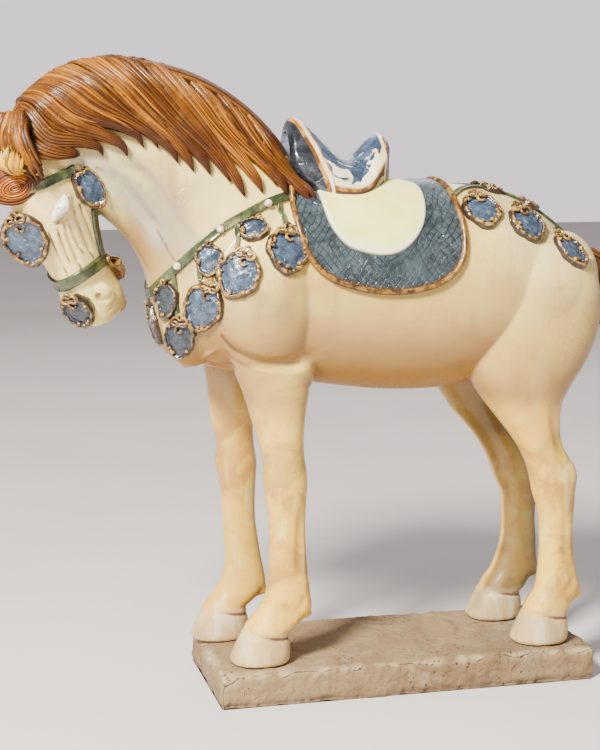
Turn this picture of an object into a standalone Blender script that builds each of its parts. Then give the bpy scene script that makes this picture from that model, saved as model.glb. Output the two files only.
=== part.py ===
"""A glazed earthenware horse with saddle and trappings, standing on a slab plinth.

Two fired pieces: the slab plinth, and the horse, moulded with its mane, saddle, saddle cloth, straps and
pendants as one body of clay. The horse looks along -X and turns its head to its left, which is -Y.
Sizes are millimetres of the real figure. Heights of the horse are counted from the soles of its hooves.
"""
import math

import bmesh
import bpy
import numpy as np
from mathutils import Vector
from mathutils.bvhtree import BVHTree

MM = 0.001

# Driving sizes.
PLINTH_LENGTH = 348.0
PLINTH_WIDTH = 146.0
PLINTH_HEIGHT = 32.0
PLINTH_EDGE_WEAR = 4.0
HORSE_HEIGHT = 528.0
SEAT_GAP = 0.3
STANCE = 41.0

# Fineness of the clay surface.
FORM_VOXEL = 2.4
FINAL_VOXEL = 1.6
HORSE_TRIANGLES = 9300

# Trunk: x, top, bottom, half width.
TRUNK = (
    (-217, 338, 300, 8),
    (-208, 356, 280, 34),
    (-187, 384, 266, 54),
    (-150, 404, 254, 65),
    (-100, 416, 246, 70),
    (-50, 417, 238, 74),
    (0, 417, 233, 76),
    (45, 417, 234, 75),
    (85, 412, 243, 72),
    (118, 400, 256, 66),
    (148, 380, 267, 56),
    (168, 361, 276, 44),
    (181, 342, 286, 28),
    (188, 320, 298, 8),
)

# Neck: x and height at the throat line, x and height at the crest, half width, y of the middle.
NECK = (
    (-192, 258, -55, 388, 62, 0),
    (-217, 312, -85, 424, 57, 0),
    (-224, 343, -124, 456, 47, 0),
    (-235, 366, -165, 486, 40, -2),
    (-249, 382, -212, 508, 34, -6),
    (-264, 395, -258, 514, 31, -11),
    (-279, 408, -296, 503, 28, -17),
    (-290, 424, -322, 482, 25, -24),
)

# Foreleg: height, front x, back x, y outside the stance line, half width.
FORELEG = (
    (338, -165, -80, -5, 30),
    (296, -163, -82, -2, 30),
    (266, -156, -86, -1, 24),
    (240, -146, -88, 0, 22.5),
    (208, -136, -92, 0, 19.5),
    (184, -129, -92, 0, 18),
    (162, -128, -89, 0, 18.5),
    (146, -126.5, -90, 0, 17),
    (126, -123.5, -91, 0, 15),
    (96, -123.5, -90, 0, 14),
    (71, -124.5, -88, 0, 14.5),
    (57, -128, -86, 0, 15.5),
    (46, -134, -85, 0, 16.5),
    (37, -142, -93, 0, 18),
    (27, -148, -106, 0, 19.5),
)
# How much further forward the far leg stands, by height.
FAR_FORELEG_STEPS = ((0, -20), (60, -22), (110, -26), (200, -26), (260, -15), (360, 0))
FAR_FORELEG_SLIM = 0.93

# Hind leg, the same way.
HIND_LEG = (
    (351, 75, 178, -8, 32),
    (311, 60, 184, -5, 37),
    (281, 56, 180, -3, 36),
    (256, 58, 168, -1, 33),
    (236, 66, 155, 0, 29),
    (221, 77, 148, 0, 25),
    (204, 91, 146, 0, 21),
    (182, 107, 149, 0, 18),
    (164, 116, 159, 0, 17),
    (152, 119.5, 164, 0, 17),
    (140, 122, 163, 0, 16.5),
    (124, 127, 162, 0, 15),
    (101, 130, 161, 0, 14),
    (76, 130, 163, 0, 14),
    (58, 128.5, 167, 0, 15),
    (47, 126, 170, 0, 16),
    (38, 120, 163, 0, 17.5),
    (27, 115, 157, 0, 19.5),
)
FAR_HIND_LEG_STEPS = (
    (0, -14), (50, -10), (76, -5), (124, -4), (150, -8), (182, -14), (204, -18), (250, -10), (320, 0),
)
FAR_HIND_LEG_SLIM = 1.04

# Hoof: height, front x, back x and half width, from the coronet of a foreleg's hoof.
HOOF = (
    (28, -38, 1, 19),
    (22, -41, 3, 21),
    (10, -46.5, 4, 22.8),
    (3, -49.5, 3.5, 23.5),
    (0, -48.5, 2, 22.5),
)
FORE_HOOF_BACK = -109.0
HIND_HOOF_BACK = 154.0

# Ergot: the wedge behind the fetlock, cut level below.
ERGOT_HEIGHT = 38.0
FORE_ERGOT_REACH = 17.0
HIND_ERGOT_REACH = 11.0

# Muscles: centre x, distance from the middle, height, then the three half sizes.
MUSCLES = (
    (-128, 50, 322, 47, 29, 63),
    (-150, 30, 362, 44, 26, 44),
    (-187, 22, 300, 26, 26, 38),
    (124, 40, 312, 52, 34, 62),
    (152, 26, 330, 34, 28, 44),
    (-104, 40, 262, 22, 22, 30),
)

# Head: distance from the poll, nose line, jaw line, half width, in the head's own directions.
HEAD_POLL = (-322.0, -33.0, 437.0)
HEAD_TURN = math.radians(32)
HEAD_TUCK = math.radians(27.5)
HEAD = (
    (-14, 10, 18, 15),
    (0, 21, 34, 22),
    (15, 27, 42, 26),
    (35, 29, 44, 28),
    (55, 28, 40, 27),
    (75, 25, 33, 24),
    (95, 23, 26, 21.5),
    (112, 23, 27, 20),
    (126, 23, 30, 20),
    (138, 20, 31, 20),
    (147, 16, 29, 18),
    (153, 8, 22, 12),
)
EYE_DISTANCE = 35.0
BUN_CENTRE = (9, 25, -6)
BUN_RADIUS = 15.0
BUN_FLATNESS = 0.62
HEAD_PENDANTS = (
    (34, -23, -30, 27, 40),
    (34, -23, 30, 27, 40),
    (133, 21, -2, 24, 26),
)
# The plate on the forehead: place in the head's directions, width, length, and its turn to the near side.
BROW_PLATE = (50, 35, -1, 41, 48, math.radians(38))
BRIDLE = (
    ((10, 26, -12), (11, 12, -25), (12, -4, -29), (15, -18, -30)),
    ((54, -24, -25), (78, -20, -24), (99, -19, -19)),
    ((104, 25, 0), (100, 16, -19), (99, -6, -21), (102, -24, -12)),
)

# Mane ridge along the crest: x, y, height, half height, half width.
MANE_RIDGE = (
    (-335, -30, 463.8, 9, 12),
    (-325, -28, 479.8, 11, 15),
    (-306, -23, 496.8, 11, 17),
    (-281, -17, 510.8, 11, 18),
    (-250, -10, 517.3, 11, 19),
    (-217, -6, 513.8, 11, 20),
    (-188, -3, 506.8, 11, 20),
    (-156, -1, 490.8, 11, 19),
    (-136, 0, 475.8, 11, 18),
    (-116, 0, 456.8, 10, 16),
    (-100, 0, 438.8, 7, 12),
    (-92, 0, 427.8, 4, 8),
)

# Locks on the near side: root x and height, middle, tip, half width.
MANE_LOCKS = (
    (-340, 470, -316, 448, -281, 443, 10),
    (-337, 484, -308, 460, -262, 443, 9),
    (-331, 493, -296, 472, -242, 443, 10),
    (-322, 501, -280, 480, -229, 452, 9),
    (-310, 509, -262, 486, -217, 452, 9),
    (-296, 516, -246, 484, -201, 440, 10),
    (-280, 522, -230, 482, -188, 433, 10),
    (-262, 526, -214, 482, -173, 431, 10),
    (-244, 527, -198, 480, -156, 426, 10),
    (-226, 526, -182, 476, -145, 414, 10),
    (-208, 522, -166, 472, -127, 419, 10),
    (-190, 517, -150, 466, -113, 424, 10),
    (-170, 508, -136, 458, -104, 414, 10),
    (-150, 495, -120, 450, -88, 411, 9),
    (-130, 478, -106, 440, -82, 414, 8),
)

# Saddle: x, top, half width and height of the flap's edge.
SADDLE = (
    (-99, 464, 18, 446),
    (-97, 471.5, 26, 438),
    (-91, 475, 32, 430),
    (-80, 469, 38, 420),
    (-66, 456, 44, 413),
    (-52, 444, 46, 411),
    (-42, 441, 46, 411),
    (-32, 448, 43, 415),
    (-22, 458, 37, 427),
    (-14, 460.5, 28, 438),
    (-8, 457, 16, 446),
)

# Saddle cloth: outline seen from the side, as x and angle down from the spine in degrees.
CLOTH = (
    (-104, 0), (-104, 30), (-101, 49), (-92, 68), (-76, 79), (-52, 86), (-24, 89), (0, 88),
    (20, 84), (34, 77), (42, 68), (45, 52), (43, 36), (41, 20), (38, 0),
)
CLOTH_LIFT = 3.5
PAD = (
    (-80, 0), (-79, 24), (-74, 46), (-62, 58), (-46, 63), (-30, 65), (-14, 63), (-2, 57),
    (9, 46), (14, 32), (13, 19), (4, 13), (-10, 15), (-22, 16), (-30, 11), (-34, 0),
)
PAD_LIFT = 6.0
GIRTH_AXIS = 325.0

# Pendants: centre x, y, height, width, length, lean in degrees.
PENDANTS = (
    (-113, -70, 366, 42, 43, 10),
    (-154, -68, 346, 44, 43, 20),
    (-184, -58, 318, 38, 45, 20),
    (-203, -45, 289, 34, 40, 10),
    (-139, -58, 382, 29, 27, 0),
    (-178, -56, 358, 26, 29, 0),
    (-212, -34, 322, 31, 33, 0),
)
CHEST_PENDANT = (-222, 0, 297, 32, 40, 0)
CROUP_PENDANTS = (
    (66, -52, 398, 39, 39, 0),
    (109, -53, 386, 39, 39, -12),
    (145, -52, 357, 33, 41, -8),
    (88, -16, 413, 22, 18, 0),
    (124, -15, 398, 22, 18, 0),
)
BREAST_STRAP = (
    (-102, -44, 412), (-125, -46, 403), (-145, -51, 394), (-166, -51, 382), (-185, -50, 367),
    (-201, -42, 351), (-213, -30, 338), (-217, -12, 328), (-217, 0, 325),
)
CROUP_STRAP = (
    (42, -44, 412), (54, -30, 415), (72, -18, 416), (106, -14, 408), (140, -14, 386), (166, -12, 358),
    (178, -6, 340),
)
STRAP_WIDTH = 8.0
NOSEBAND_WIDTH = 11.0
CROUP_STRAP_WIDTH = 5.0


def spline_rows(rows, count):
    """Smooth rows between the given ones, spaced evenly along the first two or three columns."""
    rows = np.array(rows, dtype=float)
    steps = np.linalg.norm(np.diff(rows[:, :3], axis=0), axis=1)
    knots = np.concatenate([[0.0], np.cumsum(steps)])
    slopes = np.gradient(rows, knots, axis=0)
    where = np.linspace(0.0, knots[-1], count)
    index = np.clip(np.searchsorted(knots, where, side="right") - 1, 0, len(knots) - 2)
    span = (knots[index + 1] - knots[index])[:, None]
    t = ((where - knots[index])[:, None]) / span
    p0, p1 = rows[index], rows[index + 1]
    m0, m1 = slopes[index] * span, slopes[index + 1] * span
    return ((2 * t**3 - 3 * t**2 + 1) * p0 + (t**3 - 2 * t**2 + t) * m0
            + (-2 * t**3 + 3 * t**2) * p1 + (t**3 - t**2) * m1)


def add_loft(clay, rings):
    """A closed shell through rings of points, each end closed to its middle."""
    rows = [[clay.verts.new(Vector(p) * MM) for p in ring] for ring in rings]
    size = len(rows[0])
    made = []
    for a, b in zip(rows, rows[1:]):
        for i in range(size):
            j = (i + 1) % size
            made.append(clay.faces.new((a[i], a[j], b[j], b[i])))
    for ring, points in ((rows[0], rings[0]), (rows[-1], rings[-1])):
        middle = clay.verts.new(Vector(np.mean(np.array(points, dtype=float), axis=0)) * MM)
        for i in range(size):
            made.append(clay.faces.new((ring[i], ring[(i + 1) % size], middle)))
    bmesh.ops.recalc_face_normals(clay, faces=made)


def oval(centre, up, side, above, below, half, count=28, fullness=2.2):
    """Ring of an egg-shaped section."""
    centre, up, side = (np.array(v, dtype=float) for v in (centre, up, side))
    ring = []
    for i in range(count):
        angle = 2 * math.pi * i / count
        c, s = math.cos(angle), math.sin(angle)
        rise = math.copysign(abs(c) ** (2 / fullness), c)
        reach = math.copysign(abs(s) ** (2 / fullness), s)
        ring.append(tuple(centre + up * rise * (above if c > 0 else below) + side * reach * half))
    return ring


def add_blob(clay, centre, sizes):
    """An ellipsoid along the main directions."""
    rings = []
    for k in range(1, 14):
        lat = math.pi * k / 14
        x = centre[0] - sizes[0] * math.cos(lat)
        r = math.sin(lat)
        rings.append(oval((x, centre[1], centre[2]), (0, 0, 1), (0, 1, 0), sizes[2] * r, sizes[2] * r,
                          sizes[1] * r, 20, 2.0))
    add_loft(clay, rings)


def add_sweep(clay, points, thick, wide, flat, count=12, steps=16):
    """A tapering strand through points; flat gives the direction of its thickness at each."""
    rows = [tuple(p) + (t, w) + tuple(f) for p, t, w, f in zip(points, thick, wide, flat)]
    rows = spline_rows(rows, steps)
    rings = []
    for k, row in enumerate(rows):
        ahead = rows[min(k + 1, len(rows) - 1)][:3] - rows[max(k - 1, 0)][:3]
        ahead = ahead / np.linalg.norm(ahead)
        up = row[5:8] - ahead * np.dot(row[5:8], ahead)
        up = up / np.linalg.norm(up)
        side = np.cross(ahead, up)
        t, w = max(row[3], 0.4), max(row[4], 0.4)
        rings.append(oval(row[:3], up, side, t, t, w, count, 2.0))
    add_loft(clay, rings)


def build_trunk(clay):
    rings = []
    for x, top, bottom, half in spline_rows(TRUNK, 48):
        middle = bottom + (top - bottom) * 0.47
        rings.append(oval((x, 0, middle), (0, 0, 1), (0, 1, 0), top - middle, middle - bottom, half,
                          36, 2.25))
    add_loft(clay, rings)
    for x, out, z, a, b, c in MUSCLES:
        for side in (-1, 1):
            add_blob(clay, (x, side * out, z), (a, b, c))


def build_neck(clay):
    rings = []
    for tx, tz, cx, cz, half, y in spline_rows(NECK, 30):
        throat = np.array((tx, y, tz))
        crest = np.array((cx, y, cz))
        length = np.linalg.norm(crest - throat)
        up = (crest - throat) / length
        middle = throat + up * length * 0.45
        rings.append(oval(middle, up, (0, 1, 0), length * 0.55, length * 0.45, half, 32, 2.05))
    add_loft(clay, rings)


def build_leg(clay, table, hoof_back, side, steps=((0, 0), (1, 0)), slim=1.0):
    """One leg with its hoof; side is -1 for the horse's left, steps move it along X by height."""
    rings = []
    heights, moves = zip(*steps)
    for z, front, back, out, half in spline_rows(table, 54):
        shift = float(np.interp(z, heights, moves))
        y = side * (STANCE + out)
        rings.append(oval(((front + back) / 2 + shift, y, z), (1, 0, 0), (0, 1, 0),
                          (back - front) / 2 * slim, (back - front) / 2 * slim, half * slim, 24, 2.15))
    add_loft(clay, rings)
    y = side * STANCE
    step = moves[0]
    rings = []
    for z, front, back, half in HOOF:
        rings.append(oval((hoof_back + (front + back) / 2 + step, y, z), (1, 0, 0), (0, 1, 0),
                          (back - front) / 2, (back - front) / 2, half, 24, 2.3))
    add_loft(clay, rings)
    reach = FORE_ERGOT_REACH if table is FORELEG else HIND_ERGOT_REACH
    back = hoof_back + float(np.interp(ERGOT_HEIGHT, heights, moves)) + reach
    wedge = [(back - 6, y, ERGOT_HEIGHT + 30), (back - 3, y, ERGOT_HEIGHT + 12), (back, y, ERGOT_HEIGHT)]
    add_sweep(clay, wedge, [4, 7, 8], [7, 9, 10], [(1, 0, 0.2)] * 3)


def head_frame():
    down = np.array((math.cos(HEAD_TURN) * math.sin(HEAD_TUCK), math.sin(HEAD_TURN) * math.sin(HEAD_TUCK),
                     -math.cos(HEAD_TUCK)))
    nose = np.array((-math.cos(HEAD_TURN) * math.cos(HEAD_TUCK), -math.sin(HEAD_TURN) * math.cos(HEAD_TUCK),
                     -math.sin(HEAD_TUCK)))
    far = np.array((-math.sin(HEAD_TURN), math.cos(HEAD_TURN), 0.0))
    return np.array(HEAD_POLL), down, nose, far


def head_point(along, ahead, across):
    """A point of the head: along the face, towards the nose line, and towards the far side."""
    poll, down, nose, far = head_frame()
    return poll + down * along + nose * ahead + far * across


def build_head(clay):
    poll, down, nose, far = head_frame()
    rings = []
    for along, front, jaw, half in spline_rows(HEAD, 40):
        rings.append(oval(poll + down * along, nose, far, front, jaw, half, 28, 2.25))
    add_loft(clay, rings)
    for across in (-1, 1):
        eye = [head_point(EYE_DISTANCE + d, 3 + 1.6 * d, across * s)
               for d, s in ((-6, 25), (-1, 27), (3, 26), (7, 21))]
        add_sweep(clay, eye, [1, 5, 5, 1], [1, 5.5, 5.5, 1], [far * across] * 4, 12, 12)
        nostril = [head_point(d, a, across * w) for d, a, w in ((114, 4, 17), (123, -3, 20), (133, -8, 18))]
        add_sweep(clay, nostril, [3, 5, 3], [4, 6, 4], [far * across] * 3, 12, 10)
        jowl = [head_point(d, a, across * w) for d, a, w in ((18, -24, 17), (36, -24, 20), (58, -22, 18))]
        add_sweep(clay, jowl, [5, 11, 5], [9, 18, 8], [far * across] * 3, 16, 14)
        ear = [head_point(a, b, across * c) for a, b, c in ((4, 12, 17), (-8, 13, 21), (-19, 10, 22))]
        add_sweep(clay, ear, [4, 4.5, 1], [6, 7, 1.5], [nose] * 3, 12, 12)
    chin = [head_point(d, a, 0) for d, a in ((110, -28), (122, -36), (131, -34))]
    add_sweep(clay, chin, [5, 6.5, 4], [9, 12, 9], [nose] * 3, 14, 12)
    lips = [head_point(145, -18, s) for s in (-12, 0, 12)]
    add_sweep(clay, lips, [9, 11, 9], [8, 9, 8], [down] * 3, 14, 12)


def build_forelock(clay):
    """The rolled forelock: a coil facing the near side of the brow, with a tuft standing over it."""
    poll, down, nose, far = head_frame()
    facing = (nose - far) / math.sqrt(2)
    level = (nose + far) / math.sqrt(2)
    centre = head_point(*BUN_CENTRE)
    coil = []
    for k in range(15):
        angle = math.radians(-150 + 24 * k)
        coil.append(centre + (level * math.cos(angle) + down * math.sin(angle) * BUN_FLATNESS) * BUN_RADIUS)
    add_sweep(clay, coil, [6.5] * 15, [6.5] * 15, [facing] * 15, 12, 40)
    core = [centre - facing * 12, centre, centre + facing * 4]
    add_sweep(clay, core, [9, 10, 7], [13, 14, 9], [down] * 3, 14, 10)
    tuft = [head_point(-28, 8, -8), head_point(-20, 18, -9), head_point(-8, 26, -8)]
    add_sweep(clay, tuft, [6, 9, 8], [8, 12, 10], [nose] * 3, 14, 12)


def build_tail(clay):
    path = [(176, 0, 348), (190, 0, 344), (201, 0, 334), (205, 0, 314), (202, 0, 296), (195, 0, 282)]
    flat = [(0.5, 0, 1), (0.7, 0, 1), (1, 0, 0.6), (1, 0, 0), (1, 0, -0.2), (1, 0, -0.4)]
    add_sweep(clay, path, [11, 11, 11, 10, 8, 2], [14, 13, 12, 12, 9, 2], flat, 16, 24)


def build_body():
    clay = bmesh.new()
    build_trunk(clay)
    build_neck(clay)
    build_leg(clay, FORELEG, FORE_HOOF_BACK, -1)
    build_leg(clay, FORELEG, FORE_HOOF_BACK, 1, FAR_FORELEG_STEPS, FAR_FORELEG_SLIM)
    build_leg(clay, HIND_LEG, HIND_HOOF_BACK, -1)
    build_leg(clay, HIND_LEG, HIND_HOOF_BACK, 1, FAR_HIND_LEG_STEPS, FAR_HIND_LEG_SLIM)
    build_head(clay)
    return clay


def fuse(name, clay, voxel, rounds, triangles=0):
    """Fuse the overlapping shells of clay into one skin."""
    mesh = bpy.data.meshes.new(name)
    clay.to_mesh(mesh)
    clay.free()
    item = bpy.data.objects.new(name, mesh)
    bpy.context.scene.collection.objects.link(item)
    remesh = item.modifiers.new("fuse", "REMESH")
    remesh.mode = "VOXEL"
    remesh.voxel_size = voxel * MM
    smooth = item.modifiers.new("soften", "SMOOTH")
    smooth.factor = 0.5
    smooth.iterations = rounds
    if triangles:
        count = len(evaluated(item).loop_triangles)
        facet = item.modifiers.new("facet", "DECIMATE")
        facet.ratio = min(1.0, triangles / count)
        facet.use_collapse_triangulate = True
    return item


def evaluated(item):
    deps = bpy.context.evaluated_depsgraph_get()
    mesh = bpy.data.meshes.new_from_object(item.evaluated_get(deps))
    mesh.calc_loop_triangles()
    return mesh


class Skin:
    """The finished surface of the body, that the trappings lie on."""

    def __init__(self, mesh):
        points = [v.co.copy() for v in mesh.vertices]
        self.tree = BVHTree.FromPolygons(points, [tuple(p.vertices) for p in mesh.polygons])

    def nearest(self, point):
        place, normal, _, _ = self.tree.find_nearest(Vector(point) * MM)
        return np.array(place) / MM, np.array(normal)

    def girth(self, x, angle):
        """The skin around the trunk, at an angle down from the spine; negative is the near side."""
        out = Vector((0.0, math.sin(angle), math.cos(angle)))
        start = Vector((x, 0.0, GIRTH_AXIS)) * MM + out * 0.2
        place, normal, _, _ = self.tree.ray_cast(start, -out)
        return np.array(place) / MM, np.array(normal)


def add_plate(clay, place, outline, levels, sink):
    """A plate whose top follows the skin: levels are the share of the outline and the height there."""
    count = len(outline)
    grid = []
    for share, lift in levels:
        grid.append([clay.verts.new(Vector(place(u * share, v * share, lift)) * MM) for u, v in outline])
    under = [clay.verts.new(Vector(place(u, v, -sink)) * MM) for u, v in outline]
    grid.append(under)
    made = []
    for a, b in zip(grid, grid[1:]):
        for i in range(count):
            j = (i + 1) % count
            made.append(clay.faces.new((a[i], a[j], b[j], b[i])))
    for ring, lift in ((grid[0], levels[0][1]), (under, -sink)):
        middle = clay.verts.new(Vector(place(0, 0, lift)) * MM)
        for i in range(count):
            made.append(clay.faces.new((ring[i], ring[(i + 1) % count], middle)))
    bmesh.ops.recalc_face_normals(clay, faces=made)


def leaf_outline(width, length, count=28):
    """Rounded pendant outline with a small point below and a shallow notch above."""
    outline = []
    for i in range(count):
        angle = 2 * math.pi * i / count
        low = max(0.0, -math.sin(angle)) ** 8
        high = max(0.0, math.sin(angle)) ** 10
        r = 1 + 0.10 * low - 0.10 * high
        outline.append((width / 2 * r * math.cos(angle), length / 2 * r * math.sin(angle)))
    return outline


def add_pendant(clay, skin, centre, width, length, lean=0.0, lift=(0.0, 0.0, 1.0), stiff=0.0, facing=None):
    """A pendant lying on the skin; a stiff one stays flat where the skin turns away."""
    middle, normal = skin.nearest(centre)
    if facing is not None:
        middle, normal = np.array(centre), np.array(facing)
    lift = np.array(lift)
    up = lift - normal * np.dot(lift, normal)
    up = up / np.linalg.norm(up)
    side = np.cross(up, normal)
    a = math.radians(lean)
    up, side = up * math.cos(a) + side * math.sin(a), side * math.cos(a) - up * math.sin(a)

    def place(u, v, h):
        flat = middle + side * u + up * v
        p, n = skin.nearest(flat + normal * 2)
        n = n * (1 - stiff) + normal
        return p * (1 - stiff) + flat * stiff + n / np.linalg.norm(n) * h

    levels = ((0.3, 3.0), (0.62, 3.0), (0.74, 3.4), (0.84, 4.8), (0.94, 4.6), (1.0, 3.2))
    add_plate(clay, place, leaf_outline(width, length), levels, 4.0 + 6.0 * stiff)
    if width > 32:
        knot = middle + up * length * 0.40
        for u in (-1, 1):
            p, n = skin.nearest(knot + side * u * 4.2)
            add_blob(clay, p + n * 5.0, (4.5, 4.5, 4.5))


def add_ribbon(clay, skin, path, width, lift, steps=24):
    rows = spline_rows(path, steps)
    rings = []
    for k, row in enumerate(rows):
        ahead = rows[min(k + 1, len(rows) - 1)] - rows[max(k - 1, 0)]
        ahead = ahead / np.linalg.norm(ahead)
        p, n = skin.nearest(row)
        across = np.cross(n, ahead)
        across = across / np.linalg.norm(across)
        ring = []
        for u, h in ((-0.5, -3), (-0.5, lift * 0.6), (-0.28, lift), (0.28, lift), (0.5, lift * 0.6),
                     (0.5, -3)):
            q, m = skin.nearest(p + across * u * width)
            ring.append(q + m * h)
        rings.append(ring)
    add_loft(clay, rings)


def girth_outline(table, centre, count):
    """Both sides of a cloth as one closed outline around its centre x, in x and degrees."""
    near = [(x - centre, -angle) for x, angle in table]
    far = [(x - centre, angle) for x, angle in reversed(table[1:-1])]
    rows = spline_rows([(x, a, 0.0) for x, a in near + far + near[:1]], count + 1)
    return [(row[0], row[1]) for row in rows[:-1]]


def build_cloth(clay, skin):
    centre = -34.0

    def place(u, v, h):
        p, n = skin.girth(centre + u, math.radians(v))
        return p + n * h

    rings = 22
    body = [(k / rings * 0.93, CLOTH_LIFT) for k in range(1, rings)]
    edge = [(0.95, CLOTH_LIFT + 0.6), (0.965, CLOTH_LIFT + 2.4), (0.985, CLOTH_LIFT + 2.4), (1.0, CLOTH_LIFT)]
    add_plate(clay, place, girth_outline(CLOTH, centre, 90), body + edge, 4.0)
    body = [(k / rings * 0.97, PAD_LIFT) for k in range(1, rings)]
    add_plate(clay, place, girth_outline(PAD, centre, 80), body + [(1.0, PAD_LIFT - 1.5)], 4.0)


def build_saddle(clay):
    rings = []
    for x, top, half, edge in spline_rows(SADDLE, 30):
        half, edge = max(half, 4), min(edge, top - 6)
        ring = [(x, -half * 0.75, 400), (x, -half * 0.95, edge - 8)]
        for k in range(15):
            t = -1 + 2 * k / 14
            rise = (1 - abs(t) ** 1.9) ** (1 / 1.35)
            ring.append((x, half * t, edge + (top - edge) * rise))
        ring += [(x, half * 0.95, edge - 8), (x, half * 0.75, 400)]
        rings.append(ring)
    add_loft(clay, rings)


def build_mane(clay, skin):
    ridge = spline_rows(MANE_RIDGE, 12)
    add_sweep(clay, [row[:3] for row in ridge], [row[3] for row in ridge], [row[4] for row in ridge],
              [(0.0, 0.0, 1.0)] * 12, 20, 50)
    for side in (-1, 1):
        for lock in MANE_LOCKS:
            path, flat = lock_path(skin, lock, side, (8, 9, 7, 5.5, 4.5, 2.5))
            half = lock[6]
            wide = [half, half, half, half * 0.66, half * 0.4, 1.2]
            add_sweep(clay, path, [5, 5, 5, 4.4, 3.4, 1.4], wide, flat, 12, 26)


def lock_path(skin, lock, side, lifts):
    """The middle line of a lock from the crest to its hooked tip, lying on the neck."""
    rx, rz, mx, mz, tx, tz, half = lock
    sway = -16 if rx < -200 else -4
    hook = min(8.0, max(0.0, (mz - tz) * 0.4))
    places = (
        (rx, sway * 0.8, rz - 7),
        ((rx + mx) / 2, sway + side * 26, (rz + mz) / 2 + 4),
        (mx, sway + side * 34, mz),
        ((mx + 2 * tx) / 3 - 1, sway + side * 42, (mz + 2 * tz) / 3 + hook),
        (tx - 3, sway + side * 45, tz + hook),
        (tx, sway + side * 46, tz),
    )
    path, flat = [], []
    for (x, y, z), lift in zip(places, lifts):
        p, n = skin.nearest((x, y, z))
        path.append(p + n * lift)
        flat.append(n)
    return path, flat


def build_trappings(clay, skin):
    build_cloth(clay, skin)
    build_saddle(clay)
    for side in (-1, 1):
        for x, y, z, width, length, lean in PENDANTS + CROUP_PENDANTS:
            add_pendant(clay, skin, (x, -y * side, z), width, length, lean * -side)
        for strap, width in ((BREAST_STRAP, STRAP_WIDTH), (CROUP_STRAP, CROUP_STRAP_WIDTH)):
            add_ribbon(clay, skin, [(x, -y * side, z) for x, y, z in strap], width, 2.4)
        for strap, width in zip(BRIDLE, (STRAP_WIDTH, STRAP_WIDTH, NOSEBAND_WIDTH)):
            add_ribbon(clay, skin, [head_point(t, a, -s * side) for t, a, s in strap], width, 2.4)
    x, y, z, width, length, lean = CHEST_PENDANT
    add_pendant(clay, skin, (x, y, z), width, length, lean)
    poll, down, nose, far = head_frame()
    for t, a, s, width, length in HEAD_PENDANTS:
        add_pendant(clay, skin, head_point(t, a, s), width, length, 0.0, -down, 0.6)
    t, a, s, width, length, turn = BROW_PLATE
    facing = nose * math.cos(turn) - far * math.sin(turn)
    add_pendant(clay, skin, head_point(t, a, s), width, length, 0.0, -down, 1.0, facing)


def settle(item):
    """Bring the horse to its full height and stand it over the plinth."""
    heights = [v.co.z for v in evaluated(item).vertices]
    factor = HORSE_HEIGHT * MM / (max(heights) - min(heights))
    item.scale = (factor, factor, factor)
    item.location.z = (PLINTH_HEIGHT + SEAT_GAP) * MM - min(heights) * factor


def build_plinth():
    clay = bmesh.new()
    bmesh.ops.create_cube(clay, size=1.0)
    for v in clay.verts:
        v.co.x *= PLINTH_LENGTH * MM
        v.co.y *= PLINTH_WIDTH * MM
        v.co.z = (v.co.z + 0.5) * PLINTH_HEIGHT * MM
    bmesh.ops.bevel(clay, geom=[e for e in clay.edges], offset=PLINTH_EDGE_WEAR * MM, segments=2, profile=0.5,
                    affect="EDGES")
    mesh = bpy.data.meshes.new("plinth")
    clay.to_mesh(mesh)
    clay.free()
    item = bpy.data.objects.new("plinth", mesh)
    bpy.context.scene.collection.objects.link(item)
    return item


def paint(item, name, colour, roughness):
    material = bpy.data.materials.new(name)
    material.use_nodes = True
    shader = material.node_tree.nodes["Principled BSDF"]
    shader.inputs["Base Color"].default_value = colour + (1.0,)
    shader.inputs["Roughness"].default_value = roughness
    item.data.materials.clear()
    item.data.materials.append(material)


def main():
    for item in list(bpy.data.objects):
        bpy.data.objects.remove(item, do_unlink=True)
    form = fuse("form", build_body(), FORM_VOXEL, 3)
    surface = evaluated(form)
    skin = Skin(surface)
    clay = bmesh.new()
    clay.from_mesh(surface)
    build_forelock(clay)
    build_tail(clay)
    build_trappings(clay, skin)
    build_mane(clay, skin)
    bpy.data.objects.remove(form, do_unlink=True)
    horse = fuse("horse", clay, FINAL_VOXEL, 1, HORSE_TRIANGLES)
    settle(horse)
    paint(horse, "cream_glaze", (0.80, 0.70, 0.52), 0.3)
    plinth = build_plinth()
    paint(plinth, "bare_clay", (0.62, 0.55, 0.47), 0.85)


main()
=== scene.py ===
"""Looks of the glazed horse figure: finer forms of the same clay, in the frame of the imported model."""
import math
import random

import bmesh
import bpy
import numpy as np
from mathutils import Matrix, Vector, noise
from mathutils.bvhtree import BVHTree


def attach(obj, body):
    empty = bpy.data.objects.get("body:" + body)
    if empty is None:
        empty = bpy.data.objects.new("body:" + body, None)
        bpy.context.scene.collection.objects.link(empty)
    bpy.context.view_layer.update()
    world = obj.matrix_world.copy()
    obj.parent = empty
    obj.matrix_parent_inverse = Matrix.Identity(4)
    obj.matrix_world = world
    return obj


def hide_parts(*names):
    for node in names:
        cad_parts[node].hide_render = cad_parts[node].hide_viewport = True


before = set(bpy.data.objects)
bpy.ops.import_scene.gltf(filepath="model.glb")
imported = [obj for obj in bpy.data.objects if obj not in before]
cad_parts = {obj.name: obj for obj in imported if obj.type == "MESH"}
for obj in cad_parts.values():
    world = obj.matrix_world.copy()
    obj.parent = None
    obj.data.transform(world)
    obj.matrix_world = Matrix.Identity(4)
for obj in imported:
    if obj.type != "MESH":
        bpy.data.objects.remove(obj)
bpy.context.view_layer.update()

MM = 0.001

# Driving sizes.
PLINTH_LENGTH = 348.0
PLINTH_WIDTH = 146.0
PLINTH_HEIGHT = 32.0
SEAT_GAP = 0.3
STANCE = 41.0

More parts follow.
